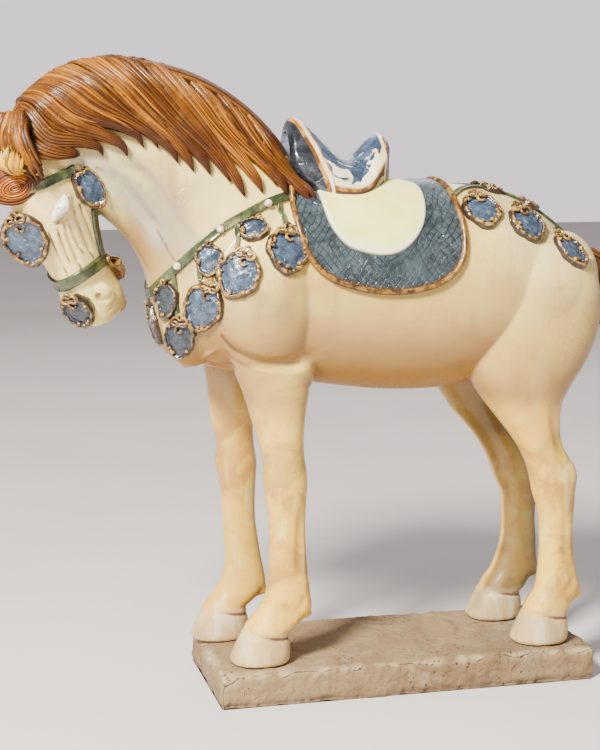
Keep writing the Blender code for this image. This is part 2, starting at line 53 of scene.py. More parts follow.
# Trunk: x, top, bottom, half width.
TRUNK = (
    (-217, 338, 300, 8),
    (-208, 356, 280, 34),
    (-187, 384, 266, 54),
    (-150, 404, 254, 65),
    (-100, 416, 246, 70),
    (-50, 417, 238, 74),
    (0, 417, 233, 76),
    (45, 417, 234, 75),
    (85, 412, 243, 72),
    (118, 400, 256, 66),
    (148, 380, 267, 56),
    (168, 361, 276, 44),
    (181, 342, 286, 28),
    (188, 320, 298, 8),
)

# Neck: x and height at the throat line, x and height at the crest, half width, y of the middle.
NECK = (
    (-192, 258, -55, 388, 62, 0),
    (-217, 312, -85, 424, 57, 0),
    (-224, 343, -124, 456, 47, 0),
    (-235, 366, -165, 486, 40, -2),
    (-249, 382, -212, 508, 34, -6),
    (-264, 395, -258, 514, 31, -11),
    (-279, 408, -296, 503, 28, -17),
    (-290, 424, -322, 482, 25, -24),
)

# Foreleg: height, front x, back x, y outside the stance line, half width.
FORELEG = (
    (338, -165, -80, -5, 30),
    (296, -163, -82, -2, 30),
    (266, -156, -86, -1, 24),
    (240, -146, -88, 0, 22.5),
    (208, -136, -92, 0, 19.5),
    (184, -129, -92, 0, 18),
    (162, -128, -89, 0, 18.5),
    (146, -126.5, -90, 0, 17),
    (126, -123.5, -91, 0, 15),
    (96, -123.5, -90, 0, 14),
    (71, -124.5, -88, 0, 14.5),
    (57, -128, -86, 0, 15.5),
    (46, -134, -85, 0, 16.5),
    (37, -142, -93, 0, 18),
    (27, -148, -106, 0, 19.5),
)
# How much further forward the far leg stands, by height.
FAR_FORELEG_STEPS = ((0, -20), (60, -22), (110, -26), (200, -26), (260, -15), (360, 0))
FAR_FORELEG_SLIM = 0.93

# Hind leg, the same way.
HIND_LEG = (
    (351, 75, 178, -8, 32),
    (311, 60, 184, -5, 37),
    (281, 56, 180, -3, 36),
    (256, 58, 168, -1, 33),
    (236, 66, 155, 0, 29),
    (221, 77, 148, 0, 25),
    (204, 91, 146, 0, 21),
    (182, 107, 149, 0, 18),
    (164, 116, 159, 0, 17),
    (152, 119.5, 164, 0, 17),
    (140, 122, 163, 0, 16.5),
    (124, 127, 162, 0, 15),
    (101, 130, 161, 0, 14),
    (76, 130, 163, 0, 14),
    (58, 128.5, 167, 0, 15),
    (47, 126, 170, 0, 16),
    (38, 120, 163, 0, 17.5),
    (27, 115, 157, 0, 19.5),
)
FAR_HIND_LEG_STEPS = (
    (0, -14), (50, -10), (76, -5), (124, -4), (150, -8), (182, -14), (204, -18), (250, -10), (320, 0),
)
FAR_HIND_LEG_SLIM = 1.04

# Hoof: height, front x, back x and half width, from the coronet of a foreleg's hoof.
HOOF = (
    (28, -38, 1, 19),
    (22, -41, 3, 21),
    (10, -46.5, 4, 22.8),
    (3, -49.5, 3.5, 23.5),
    (0, -48.5, 2, 22.5),
)
FORE_HOOF_BACK = -109.0
HIND_HOOF_BACK = 154.0

# Ergot: the wedge behind the fetlock, cut level below.
ERGOT_HEIGHT = 38.0
FORE_ERGOT_REACH = 17.0
HIND_ERGOT_REACH = 11.0

# Muscles: centre x, distance from the middle, height, then the three half sizes.
MUSCLES = (
    (-128, 50, 322, 47, 29, 63),
    (-150, 30, 362, 44, 26, 44),
    (-187, 22, 300, 26, 26, 38),
    (124, 40, 312, 52, 34, 62),
    (152, 26, 330, 34, 28, 44),
    (-104, 40, 262, 22, 22, 30),
)

# Head: distance from the poll, nose line, jaw line, half width, in the head's own directions.
HEAD_POLL = (-322.0, -33.0, 437.0)
HEAD_TURN = math.radians(32)
HEAD_TUCK = math.radians(27.5)
HEAD = (
    (-14, 10, 18, 15),
    (0, 21, 34, 22),
    (15, 27, 42, 26),
    (35, 29, 44, 28),
    (55, 28, 40, 27),
    (75, 25, 33, 24),
    (95, 23, 26, 21.5),
    (112, 23, 27, 20),
    (126, 23, 30, 20),
    (138, 20, 31, 20),
    (147, 16, 29, 18),
    (153, 8, 22, 12),
)
EYE_DISTANCE = 35.0
BUN_CENTRE = (9, 25, -6)
BUN_RADIUS = 15.0
BUN_FLATNESS = 0.62
HEAD_PENDANTS = (
    (34, -23, -30, 27, 40),
    (34, -23, 30, 27, 40),
    (133, 21, -2, 24, 26),
)
# The plate on the forehead: place in the head's directions, width, length, and its turn to the near side.
BROW_PLATE = (50, 35, -1, 41, 48, math.radians(38))
BRIDLE = (
    ((10, 26, -12), (11, 12, -25), (12, -4, -29), (15, -18, -30)),
    ((54, -24, -25), (78, -20, -24), (99, -19, -19)),
    ((104, 25, 0), (100, 16, -19), (99, -6, -21), (102, -24, -12)),
)

# Mane ridge along the crest: x, y, height, half height, half width.
MANE_RIDGE = (
    (-335, -30, 463.8, 9, 12),
    (-325, -28, 479.8, 11, 15),
    (-306, -23, 496.8, 11, 17),
    (-281, -17, 510.8, 11, 18),
    (-250, -10, 517.3, 11, 19),
    (-217, -6, 513.8, 11, 20),
    (-188, -3, 506.8, 11, 20),
    (-156, -1, 490.8, 11, 19),
    (-136, 0, 475.8, 11, 18),
    (-116, 0, 456.8, 10, 16),
    (-100, 0, 438.8, 7, 12),
    (-92, 0, 427.8, 4, 8),
)

# Locks on the near side: root x and height, middle, tip, half width.
MANE_LOCKS = (
    (-340, 470, -316, 448, -281, 443, 10),
    (-337, 484, -308, 460, -262, 443, 9),
    (-331, 493, -296, 472, -242, 443, 10),
    (-322, 501, -280, 480, -229, 452, 9),
    (-310, 509, -262, 486, -217, 452, 9),
    (-296, 516, -246, 484, -201, 440, 10),
    (-280, 522, -230, 482, -188, 433, 10),
    (-262, 526, -214, 482, -173, 431, 10),
    (-244, 527, -198, 480, -156, 426, 10),
    (-226, 526, -182, 476, -145, 414, 10),
    (-208, 522, -166, 472, -127, 419, 10),
    (-190, 517, -150, 466, -113, 424, 10),
    (-170, 508, -136, 458, -104, 414, 10),
    (-150, 495, -120, 450, -88, 411, 9),
    (-130, 478, -106, 440, -82, 414, 8),
)

# Saddle: x, top, half width and height of the flap's edge.
SADDLE = (
    (-99, 464, 18, 446),
    (-97, 471.5, 26, 438),
    (-91, 475, 32, 430),
    (-80, 469, 38, 420),
    (-66, 456, 44, 413),
    (-52, 444, 46, 411),
    (-42, 441, 46, 411),
    (-32, 448, 43, 415),
    (-22, 458, 37, 427),
    (-14, 460.5, 28, 438),
    (-8, 457, 16, 446),
)

# Saddle cloth: outline seen from the side, as x and angle down from the spine in degrees.
CLOTH = (
    (-104, 0), (-104, 30), (-101, 49), (-92, 68), (-76, 79), (-52, 86), (-24, 89), (0, 88),
    (20, 84), (34, 77), (42, 68), (45, 52), (43, 36), (41, 20), (38, 0),
)
CLOTH_LIFT = 3.5
PAD = (
    (-80, 0), (-79, 24), (-74, 46), (-62, 58), (-46, 63), (-30, 65), (-14, 63), (-2, 57),
    (9, 46), (14, 32), (13, 19), (4, 13), (-10, 15), (-22, 16), (-30, 11), (-34, 0),
)
PAD_LIFT = 6.0
GIRTH_AXIS = 325.0

# Pendants: centre x, y, height, width, length, lean in degrees.
PENDANTS = (
    (-113, -70, 366, 42, 43, 10),
    (-154, -68, 346, 44, 43, 20),
    (-184, -58, 318, 38, 45, 20),
    (-203, -45, 289, 34, 40, 10),
    (-139, -58, 382, 29, 27, 0),
    (-178, -56, 358, 26, 29, 0),
    (-212, -34, 322, 31, 33, 0),
)
CHEST_PENDANT = (-222, 0, 297, 32, 40, 0)
CROUP_PENDANTS = (
    (66, -52, 398, 39, 39, 0),
    (109, -53, 386, 39, 39, -12),
    (145, -52, 357, 33, 41, -8),
    (88, -16, 413, 22, 18, 0),
    (124, -15, 398, 22, 18, 0),
)
BREAST_STRAP = (
    (-102, -44, 412), (-125, -46, 403), (-145, -51, 394), (-166, -51, 382), (-185, -50, 367),
    (-201, -42, 351), (-213, -30, 338), (-217, -12, 328), (-217, 0, 325),
)
CROUP_STRAP = (
    (42, -44, 412), (54, -30, 415), (72, -18, 416), (106, -14, 408), (140, -14, 386), (166, -12, 358),
    (178, -6, 340),
)
STRAP_WIDTH = 8.0
NOSEBAND_WIDTH = 11.0
CROUP_STRAP_WIDTH = 5.0

# What the finer forms add.
FIT = 0.9995
BODY_VOXEL = 1.25
BODY_TRIANGLES = 185000
SLAB_VOXEL = 1.6
SLAB_CHIPS = 80
NET_STEP = 7.0
STRANDS = 128
BROW_STRANDS = 66
THINNEST = 0.25
CLOTH_CENTRE = -34.0
STRAP_LIFT = 2.6
CONNECTOR_WIDTH = 4.5
CONNECTOR_LIFT = 2.2
STUD_RADIUS = 3.4
SMALL_PENDANT = 33
SHADE_RAYS = 10
SHADE_REACH = 34.0
FAR_AWAY = 1e9
SEED = 7
# Which pendants of the two tables are dark.
DARK_PENDANTS = (3, 6)
CAMERA_TARGET = (-0.0850, 0.0, 0.2797)
CAMERA_AWAY = (-0.2391, -0.9589, 0.1530)
CAMERA_DISTANCE = 1.5165
CAMERA_LENS = 81.6
FLOOR_HALF = 6.0
# Lights: name, place, aim, size, power, colour.
LIGHTS = (
    ("key", (-1.40, -1.40, 1.85), (0, 0, 0.3), 0.5, 245.0, (1.0, 0.97, 0.89)),
    ("fill", (-1.7, -0.9, 0.6), (-0.2, 0, 0.30), 1.2, 7.0, (1.0, 0.95, 0.88)),
    ("back", (0.6, 1.8, 1.4), (0, 0, 0.3), 1.4, 10.0, (0.96, 0.97, 1.0)),
)

# Lines pressed into the near side of the body, then the far side: path, radius, depth.
NECK_FOLD = ((-253, -41, 440), (-232, -40, 430), (-216, -40, 411), (-201, -42, 386), (-192, -47, 365))
BODY_LINES = (
    (((-268, -41, 434), (-253, -39, 425), (-240, -36, 411), (-225, -34, 391), (-213, -35, 373)), 8, 3.0),
    (NECK_FOLD, 8, 2.4),
    (((-167, -58, 293), (-159, -60, 282), (-145, -64, 273), (-123, -65, 268), (-100, -61, 268),
      (-84, -60, 276)), 9, 3.0),
    (((-177, -30, 267), (-162, -28, 262), (-153, -49, 263)), 7, 2.4),
    (((25, -36, 241), (36, -44, 246), (46, -51, 253), (50, -60, 265)), 12, 1.6),
)
# Folds of the cheek, as paths in the head's own directions.
CHEEK_FOLDS = (
    ((42, -10.0, 27.5), (61.7, -11.5, 25.5), (84.0, -13.5, 21.8)),
    ((44, -2.0, 28.5), (66, -3.0, 25.8), (91.0, -5.1, 21.8)),
    ((46, 6.0, 28.2), (66, 5.6, 25.3), (80.5, 3.5, 23.0)),
    ((49, 11.6, 26.5), (70, 10.6, 23.5), (94.8, 9.3, 20.0)),
    ((52, 17.0, 22.5), (68, 16.6, 20.0), (84, 15.8, 17.5)),
    ((50, 22.4, 17.5), (70, 21.4, 14.5), (94, 19.6, 12.1)),
)
# Lines pressed into both sides of the head: path, radius, depth.
HEAD_LINES = (
    (CHEEK_FOLDS[0], 2.8, 1.5),
    (CHEEK_FOLDS[1], 2.8, 1.7),
    (CHEEK_FOLDS[2], 2.6, 1.5),
    (CHEEK_FOLDS[3], 2.8, 1.6),
    (CHEEK_FOLDS[4], 2.6, 1.3),
    (CHEEK_FOLDS[5], 2.8, 1.3),
    (((121, 3, 20), (124, 5, 20), (128, 4, 20)), 4.0, 1.6),
    (((142, 9, 16), (141, 2, 18), (139, -6, 19), (136, -14, 19)), 2.2, 0.9),
    (((112, -14, 20), (121, -20, 19), (130, -20, 18)), 4.0, 1.4),
    (((25, -9, 28), (26, 0, 31), (31, 11, 29), (39, 18, 23)), 2.6, 1.4),
    (((38, -7, 28), (43, 2, 30), (46, 10, 27), (44, 19, 21)), 2.6, 1.8),
)
# Lines of the head painted dark, as shade and pooled glaze in its folds: path, radius, strength.
DARK_LINES = (
    (CHEEK_FOLDS[0], 1.5, 0.62),
    (CHEEK_FOLDS[1], 1.6, 0.72),
    (CHEEK_FOLDS[2], 1.5, 0.62),
    (CHEEK_FOLDS[3], 1.6, 0.72),
    (CHEEK_FOLDS[4], 1.5, 0.58),
    (CHEEK_FOLDS[5], 1.5, 0.62),
    (((122, 3, 20), (125, 4, 20), (128, 3, 20)), 2.4, 0.40),
    (((30, -2, 30), (37, 4, 30), (43, 10, 27), (48, 17, 22)), 1.6, 0.55),
)
# Where the neck is shaded behind the pendant at the poll: path, radius, strength, part of the tag.
NECK_SHADES = (
    (((-276, -38, 442), (-268, -41, 434), (-253, -39, 425), (-240, -36, 411), (-225, -34, 391),
      (-213, -35, 373), (-202, -40, 352)), 1.9, 0.50, 2),
    (((-280, -38, 436), (-262, -41, 432), (-246, -38, 416), (-231, -36, 398), (-216, -36, 376)),
     17.0, 0.85, 1),
    (NECK_FOLD, 14.0, 0.45, 1),
)
# The curled rim of the nostril, in the head's directions, and its radius.
NOSTRIL = (127, -3, 20)
NOSTRIL_RADIUS = 7.0
# Grooves of the forelegs and swellings, which are negative: path of x, distance outside the stance line
# and height, then radius and depth.
FORELEG_LINES = (
    (((-98, 12, 142), (-99, 11.5, 112), (-99, 12, 74)), 7.0, 1.7),
    (((-116, 11, 200), (-113, 12, 180), (-112, 13, 168)), 7.0, -1.4),
    (((-126, 4, 172), (-126, 6, 162), (-124, 5, 152)), 10.0, -1.8),
    (((-122, 9, 144), (-118, 10, 141), (-110, 11, 140)), 5.0, 1.2),
    (((-92, 14, 60), (-96, 16, 52), (-104, 17, 46)), 6.0, 1.3),
)
HIND_LEG_LINES = (
    (((149, 11, 124), (150, 11, 96), (151, 12, 70)), 7.0, 1.7),
    (((126, 16, 236), (134, 15, 205), (145, 13, 172)), 9.0, 2.2),
    (((152, 8, 166), (156, 8, 156), (154, 8, 146)), 9.0, -1.8),
    (((124, 10, 152), (130, 12, 148), (138, 13, 142)), 5.0, 1.2),
    (((160, 14, 60), (156, 16, 52), (148, 17, 46)), 6.0, 1.3),
)
STRAP_STUDS = ((-125, -49, 403), (-167, -53, 382), (-202, -43, 351))
CONNECTORS = (
    ((-113, -50, 408), (-112, -62, 386)),
    ((-153, -54, 389), (-154, -62, 366)),
    ((-188, -52, 364), (-186, -57, 340)),
    ((-206, -40, 345), (-203, -44, 307)),
)
# Share of a pendant's outline and height, then how far each follows the scallops of the rim.
PENDANT_LEVELS = (
    (0.12, 3.6, 0, 0), (0.25, 3.5, 0, 0), (0.38, 3.3, 0, 0), (0.50, 3.0, 0, 0), (0.62, 2.6, 0.02, 0),
    (0.69, 2.3, 0.05, 0), (0.73, 2.5, 0.06, 0.2), (0.76, 3.6, 0.06, 0.7), (0.80, 4.6, 0.04, 1.0),
    (0.85, 5.1, 0.03, 0.8), (0.90, 4.8, 0.01, 0.5), (0.945, 4.0, 0, 0.2), (0.975, 2.8, 0, 0),
    (1.0, 1.6, 0, 0), (0.99, -4.0, 0, 0),
)
# Section of a strap: share of its width, share of its lift, where 0 is sunk below the skin.
RIBBON = (
    (-0.5, 0), (-0.5, 0.55), (-0.44, 0.9), (-0.36, 1), (-0.28, 0.86),
    (0.28, 0.86), (0.36, 1), (0.44, 0.9), (0.5, 0.55), (0.5, 0),
)
RIBBON_DEPTH = -2
# Chips along the near upper edge of the slab: x, radius, depth.
PLINTH_CHIPS = (
    (-168, 14, 5), (-150, 7, 2.5), (-118, 9, 2.6), (-84, 6, 1.8), (-52, 9, 2.4), (-18, 7, 2.0), (22, 10, 2.8),
    (58, 6, 2.0), (96, 9, 2.6), (131, 7, 2.4), (160, 10, 3.0),
)


def unit(v):
    return v / np.linalg.norm(v)


def sided(path, side):
    """A path given for the near side, as it is on the near side (-1) or mirrored to the far side (1)."""
    return [(x, -y * side, z) for x, y, z in path]


class Clay:
    """Points, faces and a three-part tag per point: along, around or level, and a number of the strand."""

    def __init__(self):
        self.points = []
        self.faces = []
        self.tags = []

    def ring(self, points, tags):
        start = len(self.points)
        self.points.extend(tuple(map(float, p)) for p in points)
        self.tags.extend(tags)
        return list(range(start, start + len(points)))

    def skin(self, a, b):
        size = len(a)
        for i in range(size):
            j = (i + 1) % size
            self.faces.append((a[i], a[j], b[j], b[i]))

    def close(self, ring, point, tag):
        middle = self.ring([point], [tag])[0]
        size = len(ring)
        for i in range(size):
            self.faces.append((ring[i], ring[(i + 1) % size], middle))


def add_loft(clay, rings, tags=None):
    """A closed shell through rings of points, each end closed to its middle."""
    rows = []
    for k, ring in enumerate(rings):
        along = k / (len(rings) - 1)
        if tags is None:
            row_tags = [(along, i / len(ring), 0.0) for i in range(len(ring))]
        else:
            row_tags = tags(along, len(ring))
        rows.append(clay.ring(ring, row_tags))
    for a, b in zip(rows, rows[1:]):
        clay.skin(a, b)
    for k in (0, -1):
        clay.close(rows[k], np.mean(np.array(rings[k], dtype=float), axis=0), clay.tags[rows[k][0]])


def spline_rows(rows, count):
    """Smooth rows between the given ones, spaced evenly along the first two or three columns."""
    rows = np.array(rows, dtype=float)
    steps = np.linalg.norm(np.diff(rows[:, :3], axis=0), axis=1)
    knots = np.concatenate([[0.0], np.cumsum(steps)])
    slopes = np.gradient(rows, knots, axis=0)
    where = np.linspace(0.0, knots[-1], count)
    index = np.clip(np.searchsorted(knots, where, side="right") - 1, 0, len(knots) - 2)
    span = (knots[index + 1] - knots[index])[:, None]
    t = ((where - knots[index])[:, None]) / span
    p0, p1 = rows[index], rows[index + 1]
    m0, m1 = slopes[index] * span, slopes[index + 1] * span
    return ((2 * t**3 - 3 * t**2 + 1) * p0 + (t**3 - 2 * t**2 + t) * m0
            + (-2 * t**3 + 3 * t**2) * p1 + (t**3 - t**2) * m1)


def oval(centre, up, side, above, below, half, count=28, fullness=2.2):
    """Ring of an egg-shaped section."""
    centre, up, side = (np.array(v, dtype=float) for v in (centre, up, side))
    ring = []
    for i in range(count):
        angle = 2 * math.pi * i / count
        c, s = math.cos(angle), math.sin(angle)
        rise = math.copysign(abs(c) ** (2 / fullness), c)
        reach = math.copysign(abs(s) ** (2 / fullness), s)
        ring.append(tuple(centre + up * rise * (above if c > 0 else below) + side * reach * half))
    return ring


def add_sweep(clay, points, thick, wide, flat, count=12, steps=16, ridges=0, depth=0.0, strand=0.0, turn=0.0):
    """A tapering strand through points; flat gives the direction of its thickness at each."""
    rows = [tuple(p) + (t, w) + tuple(f) for p, t, w, f in zip(points, thick, wide, flat)]
    rows = spline_rows(rows, steps)
    rings = []
    for k, row in enumerate(rows):
        ahead = unit(rows[min(k + 1, len(rows) - 1)][:3] - rows[max(k - 1, 0)][:3])
        up = unit(row[5:8] - ahead * np.dot(row[5:8], ahead))
        side = np.cross(ahead, up)
        t, w = max(row[3], THINNEST), max(row[4], THINNEST)
        ring = []
        for i in range(count):
            angle = 2 * math.pi * i / count
            s, c = math.sin(angle), math.cos(angle)
            swell = 1.0 + depth * math.cos(ridges * math.pi * s + turn) if ridges else 1.0
            ring.append(row[:3] + up * c * t * swell + side * s * w)
        rings.append(ring)

    def tags(along, size):
        made = []
        for i in range(size):
            angle = 2 * math.pi * i / size
            if ridges:
                angle = ridges * math.pi * math.sin(angle) + turn
            made.append((along, 0.5 + 0.5 * math.cos(angle), strand))
        return made

    add_loft(clay, rings, tags)


def set_tags(mesh, tags):
    data = mesh.attributes.new("tag", "FLOAT_VECTOR", "POINT")
    data.data.foreach_set("vector", np.array(tags, dtype=np.float32).ravel())


def set_smooth(mesh):
    mesh.polygons.foreach_set("use_smooth", [True] * len(mesh.polygons))


def set_places(mesh, points):
    mesh.vertices.foreach_set("co", np.array(points, dtype=np.float32).ravel())


def values_of(mesh, key):
    """The places (co) or normals (normal) of a mesh as an array."""
    values = np.empty(len(mesh.vertices) * 3)
    mesh.vertices.foreach_get(key, values)
    return values.reshape(-1, 3)


def finish_mesh(name, points, faces, tags):
    """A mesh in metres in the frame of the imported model."""
    mesh = bpy.data.meshes.new(name)
    mesh.from_pydata([place_out(p) for p in points], [], faces)
    mesh.update()
    work = bmesh.new()
    work.from_mesh(mesh)
    bmesh.ops.recalc_face_normals(work, faces=work.faces)
    work.to_mesh(mesh)
    work.free()
    if tags:
        set_tags(mesh, tags)
    set_smooth(mesh)
    return mesh


def place_out(point):
    return (point[0] * FIT * MM, point[1] * FIT * MM, (point[2] * FIT + PLINTH_HEIGHT + SEAT_GAP) * MM)


def placed(name, data):
    """A new object in the scene."""
    item = bpy.data.objects.new(name, data)
    bpy.context.scene.collection.objects.link(item)
    return item


def add_piece(name, mesh, material, node):
    item = placed(name, mesh)
    mesh.materials.clear()
    mesh.materials.append(material)
    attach(item, "root")
    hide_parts(node)


def piece(name, clay, material):
    mesh = finish_mesh(name, clay.points, clay.faces, clay.tags)
    add_piece(name, mesh, material, "horse")


def built(name, material, build, *given):
    """A piece of one building function."""
    clay = Clay()
    build(clay, *given)
    piece(name, clay, material)


def baked(item):
    """The mesh of an object with its modifiers applied; the object itself goes."""
    deps = bpy.context.evaluated_depsgraph_get()
    made = bpy.data.meshes.new_from_object(item.evaluated_get(deps))
    bpy.data.objects.remove(item, do_unlink=True)
    return made


def remeshed(name, mesh, voxel, rounds):
    """The fused skin of overlapping shells, as a mesh in metres."""
    item = placed(name, mesh)
    fuse = item.modifiers.new("fuse", "REMESH")
    fuse.mode = "VOXEL"
    fuse.voxel_size = voxel * MM
    soften = item.modifiers.new("soften", "SMOOTH")
    soften.factor = 0.5
    soften.iterations = rounds
    return baked(item)


def thinned(name, mesh, triangles):
    mesh.calc_loop_triangles()
    item = placed(name, mesh)
    facet = item.modifiers.new("facet", "DECIMATE")
    facet.ratio = min(1.0, triangles / len(mesh.loop_triangles))
    facet.use_collapse_triangulate = True
    made = baked(item)
    set_smooth(made)
    return made


class Skin:
    """The surface of the body, in drawn millimetres, that the trappings lie on."""

    def __init__(self, points, polygons):
        self.tree = BVHTree.FromPolygons([Vector(p) for p in points], polygons)

    def nearest(self, point):
        place, normal, _, _ = self.tree.find_nearest(Vector(point))
        return np.array(place), np.array(normal)

    def girth(self, x, angle):
        """The skin around the trunk, at an angle down from the spine; negative is the near side."""
        out = Vector((0.0, math.sin(angle), math.cos(angle)))
        start = Vector((x, 0.0, GIRTH_AXIS)) + out * 200
        place, normal, _, _ = self.tree.ray_cast(start, -out)
        return np.array(place), np.array(normal)


def drawn(mesh):
    """The points of a mesh in drawn millimetres."""
    points = values_of(mesh, "co") / MM
    points[:, 2] -= PLINTH_HEIGHT + SEAT_GAP
    return points / FIT


def beside(points, rows):
    """How far each point is from the line through rows, and how far along it that is, from 0 to 1."""
    best = np.full(len(points), FAR_AWAY)
    where = np.zeros(len(points))
    for k, (a, b) in enumerate(zip(rows, rows[1:])):
        d = b - a
        t = np.clip(((points - a) @ d) / max(float(d @ d), 1e-9), 0, 1)
        gap = np.linalg.norm(points - (a + t[:, None] * d), axis=1)
        closer = gap < best
        best[closer] = gap[closer]
        where[closer] = (k + t[closer]) / (len(rows) - 1)
    return best, where


def carve(points, normals, path, radius, depth, steps=24, fade=0.22):
    """Press a soft groove along a path, or raise a soft bead where depth is negative."""
    rows = spline_rows([tuple(p) for p in path], steps)
    low, high = rows.min(axis=0) - radius, rows.max(axis=0) + radius
    near = np.nonzero(np.all((points > low) & (points < high), axis=1))[0]
    if not len(near):
        return
    best, where = beside(points[near], rows)
    share = np.clip(1 - (best / radius) ** 2, 0, 1) ** 2
    if fade:
        share *= np.clip(np.minimum(where, 1 - where) / fade, 0, 1)
    points[near] -= normals[near] * (share * depth)[:, None]


def mark(tags, points, path, radius, strength, part=2):
    """Write the closeness to a path into one part of the tags."""
    best, _ = beside(points, spline_rows([tuple(p) for p in path], 24))
    share = np.clip(1 - (best / radius) ** 2, 0, 1) * strength
    tags[:, part] = np.maximum(tags[:, part], share)


def add_plate(clay, place, outline, levels, sink):
    """A plate whose top follows the skin: levels are the share of the outline and the height there."""
    grid = []
    for share, lift in levels:
        points, tags = [], []
        for u, v in outline:
            points.append(place(u * share, v * share, lift))
            tags.append((u * share, v * share, share))
        grid.append(clay.ring(points, tags))
    under = clay.ring([place(u, v, -sink) for u, v in outline], [(u, v, 1.0) for u, v in outline])
    clay.close(grid[0], place(0, 0, levels[0][1]), (0.0, 0.0, 0.0))
    for a, b in zip(grid, grid[1:]):
        clay.skin(a, b)
    clay.skin(grid[-1], under)
    clay.close(under, place(0, 0, -sink), (0.0, 0.0, 1.0))


def leaf_outline(width, length, rng, count=84):
    """Rounded pendant outline with a small point below, a shallow notch above and an uneven edge."""
    turns = [rng.uniform(0, 2 * math.pi) for _ in range(3)]
    outline = []
    for i in range(count):
        angle = 2 * math.pi * i / count
        low = max(0.0, -math.sin(angle)) ** 8
        high = max(0.0, math.sin(angle)) ** 12
        r = 0.975 + 0.16 * low - 0.12 * high
        r += 0.022 * math.sin(5 * angle + turns[0]) + 0.016 * math.sin(9 * angle + turns[1])
        r += 0.008 * math.sin(16 * angle + turns[2])
        outline.append((width / 2 * r * math.cos(angle), length / 2 * r * math.sin(angle)))
    return outline


def add_pendant(plates, knots, skin, rng, centre, width, length, lean=0.0, lift=(0.0, 0.0, 1.0), stiff=0.0,
                facing=None):
    """A pendant lying on the skin, its raised rim scalloped inside, with curls of gold at its top."""
    middle, normal = skin.nearest(centre)
    if facing is not None:
        middle, normal = np.array(centre), np.array(facing)
    lift = np.array(lift)
    up = unit(lift - normal * np.dot(lift, normal))
    side = np.cross(up, normal)
    a = math.radians(lean)
    up, side = up * math.cos(a) + side * math.sin(a), side * math.cos(a) - up * math.sin(a)

    def place(u, v, h):
        flat = middle + side * u + up * v
        p, n = skin.nearest(flat + normal * 2)
        n = n * (1 - stiff) + normal
        return p * (1 - stiff) + flat * stiff + unit(n) * h

    outline = leaf_outline(width, length, rng)
    turns = [rng.uniform(0, 6.28) for _ in range(4)]
    count = rng.randint(5, 7)
    scallop = []
    for k in range(len(outline)):
        angle = 2 * math.pi * k / len(outline)
        wave = 0.55 * abs(math.sin(count * angle + turns[0]))
        scallop.append(wave + 0.45 * math.sin(11 * angle + turns[1]))
    rings = []
    for share, height, sway, rise in PENDANT_LEVELS:
        points, tags = [], []
        for (u, v), s in zip(outline, scallop):
            t = share + sway * s
            wave = 0.35 * math.sin(u * t * 0.5 + turns[2]) * math.sin(v * t * 0.6 + turns[3])
            depth = height - stiff * 6.0 if height < 0 else height + rise * s * 0.6 + wave
            points.append(place(u * t, v * t, depth))
            tags.append((u * t, v * t, share - sway * 0.2))
        rings.append(plates.ring(points, tags))
    plates.close(rings[0], place(0, 0, 3.6), (0.0, 0.0, 0.0))
    for one, two in zip(rings, rings[1:]):
        plates.skin(one, two)
    plates.close(rings[-1], place(0, 0, -4.0 - stiff * 6.0), (0.0, 0.0, 1.0))

    def curl(path, tube):
        points = [place(u * width, v * length, 4.9) for u, v in path]
        thick = [tube * (1 - 0.35 * abs(2 * k / (len(path) - 1) - 1)) for k in range(len(path))]
        add_sweep(knots, points, thick, thick, [normal] * len(points), 8, 4 * len(path), strand=rng.random())

    def loop(u, v, radius, tube, start, turn):
        path = []
        for k in range(9):
            t = math.radians(start + turn * k / 8)
            path.append((u + radius * math.cos(t) / width, v + radius * math.sin(t) / length))
        curl(path, tube)

    small = width < SMALL_PENDANT
    if small:
        loop(0.0, 0.46, 2.1, 1.0, -60, 300)
    else:
        loop(-0.11, 0.40, 3.6, 1.5, 20, 320)
        loop(0.11, 0.40, 3.6, 1.5, 200, 320)
        loop(0.0, 0.50, 2.6, 1.3, -40, 260)
        loop(0.03, 0.24, 3.2, 1.4, 90, 250)
    for _ in range(7 if small else 11):
        k = rng.randrange(len(outline))
        u, v = outline[k]
        share = rng.uniform(0.66, 0.86)
        if v > length * 0.34:
            continue
        size = rng.uniform(1.2, 2.2)
        add_stud(knots, place(u * share, v * share, 3.2), normal, size)


def add_ribbon(clay, skin, path, width, lift, steps=60):
    """A strap lying on the skin, with a raised line along each edge."""
    rows = spline_rows([tuple(p) for p in path], steps)
    rings = []
    for k, row in enumerate(rows):
        ahead = unit(rows[min(k + 1, len(rows) - 1)] - rows[max(k - 1, 0)])
        p, n = skin.nearest(row)
        across = unit(np.cross(n, ahead))
        ring = []
        for u, h in RIBBON:
            q, m = skin.nearest(p + across * u * width)
            ring.append(q + m * (h * lift if h > 0 else RIBBON_DEPTH))
        rings.append(ring)

    def tags(along, size):
        return [(along, abs(i - (size - 1) / 2) / ((size - 1) / 2), 0.0) for i in range(size)]

    add_loft(clay, rings, tags)


def add_stud(clay, place, normal, radius):
    """A small domed stud."""
    normal = unit(normal)
    aside = unit(np.cross(normal, (0.3, 0.2, 0.9)))
    other = np.cross(normal, aside)
    rings = []
    for k in range(7):
        lat = math.radians(-30 + 18 * k)
        r, h = radius * math.cos(lat), radius * math.sin(lat)
        rings.append([place + normal * (h + 1.2) + (aside * math.cos(t) + other * math.sin(t)) * r
                      for t in np.linspace(0, 2 * math.pi, 17)[:-1]])
    add_loft(clay, rings)


def girth_outline(table, centre, count):
    """Both sides of a cloth as one closed outline around its centre x, in x and degrees."""
    near = [(x - centre, -angle) for x, angle in table]
    far = [(x - centre, angle) for x, angle in reversed(table[1:-1])]
    rows = spline_rows([(x, a, 0.0) for x, a in near + far + near[:1]], count + 1)
    return [(row[0], row[1]) for row in rows[:-1]]


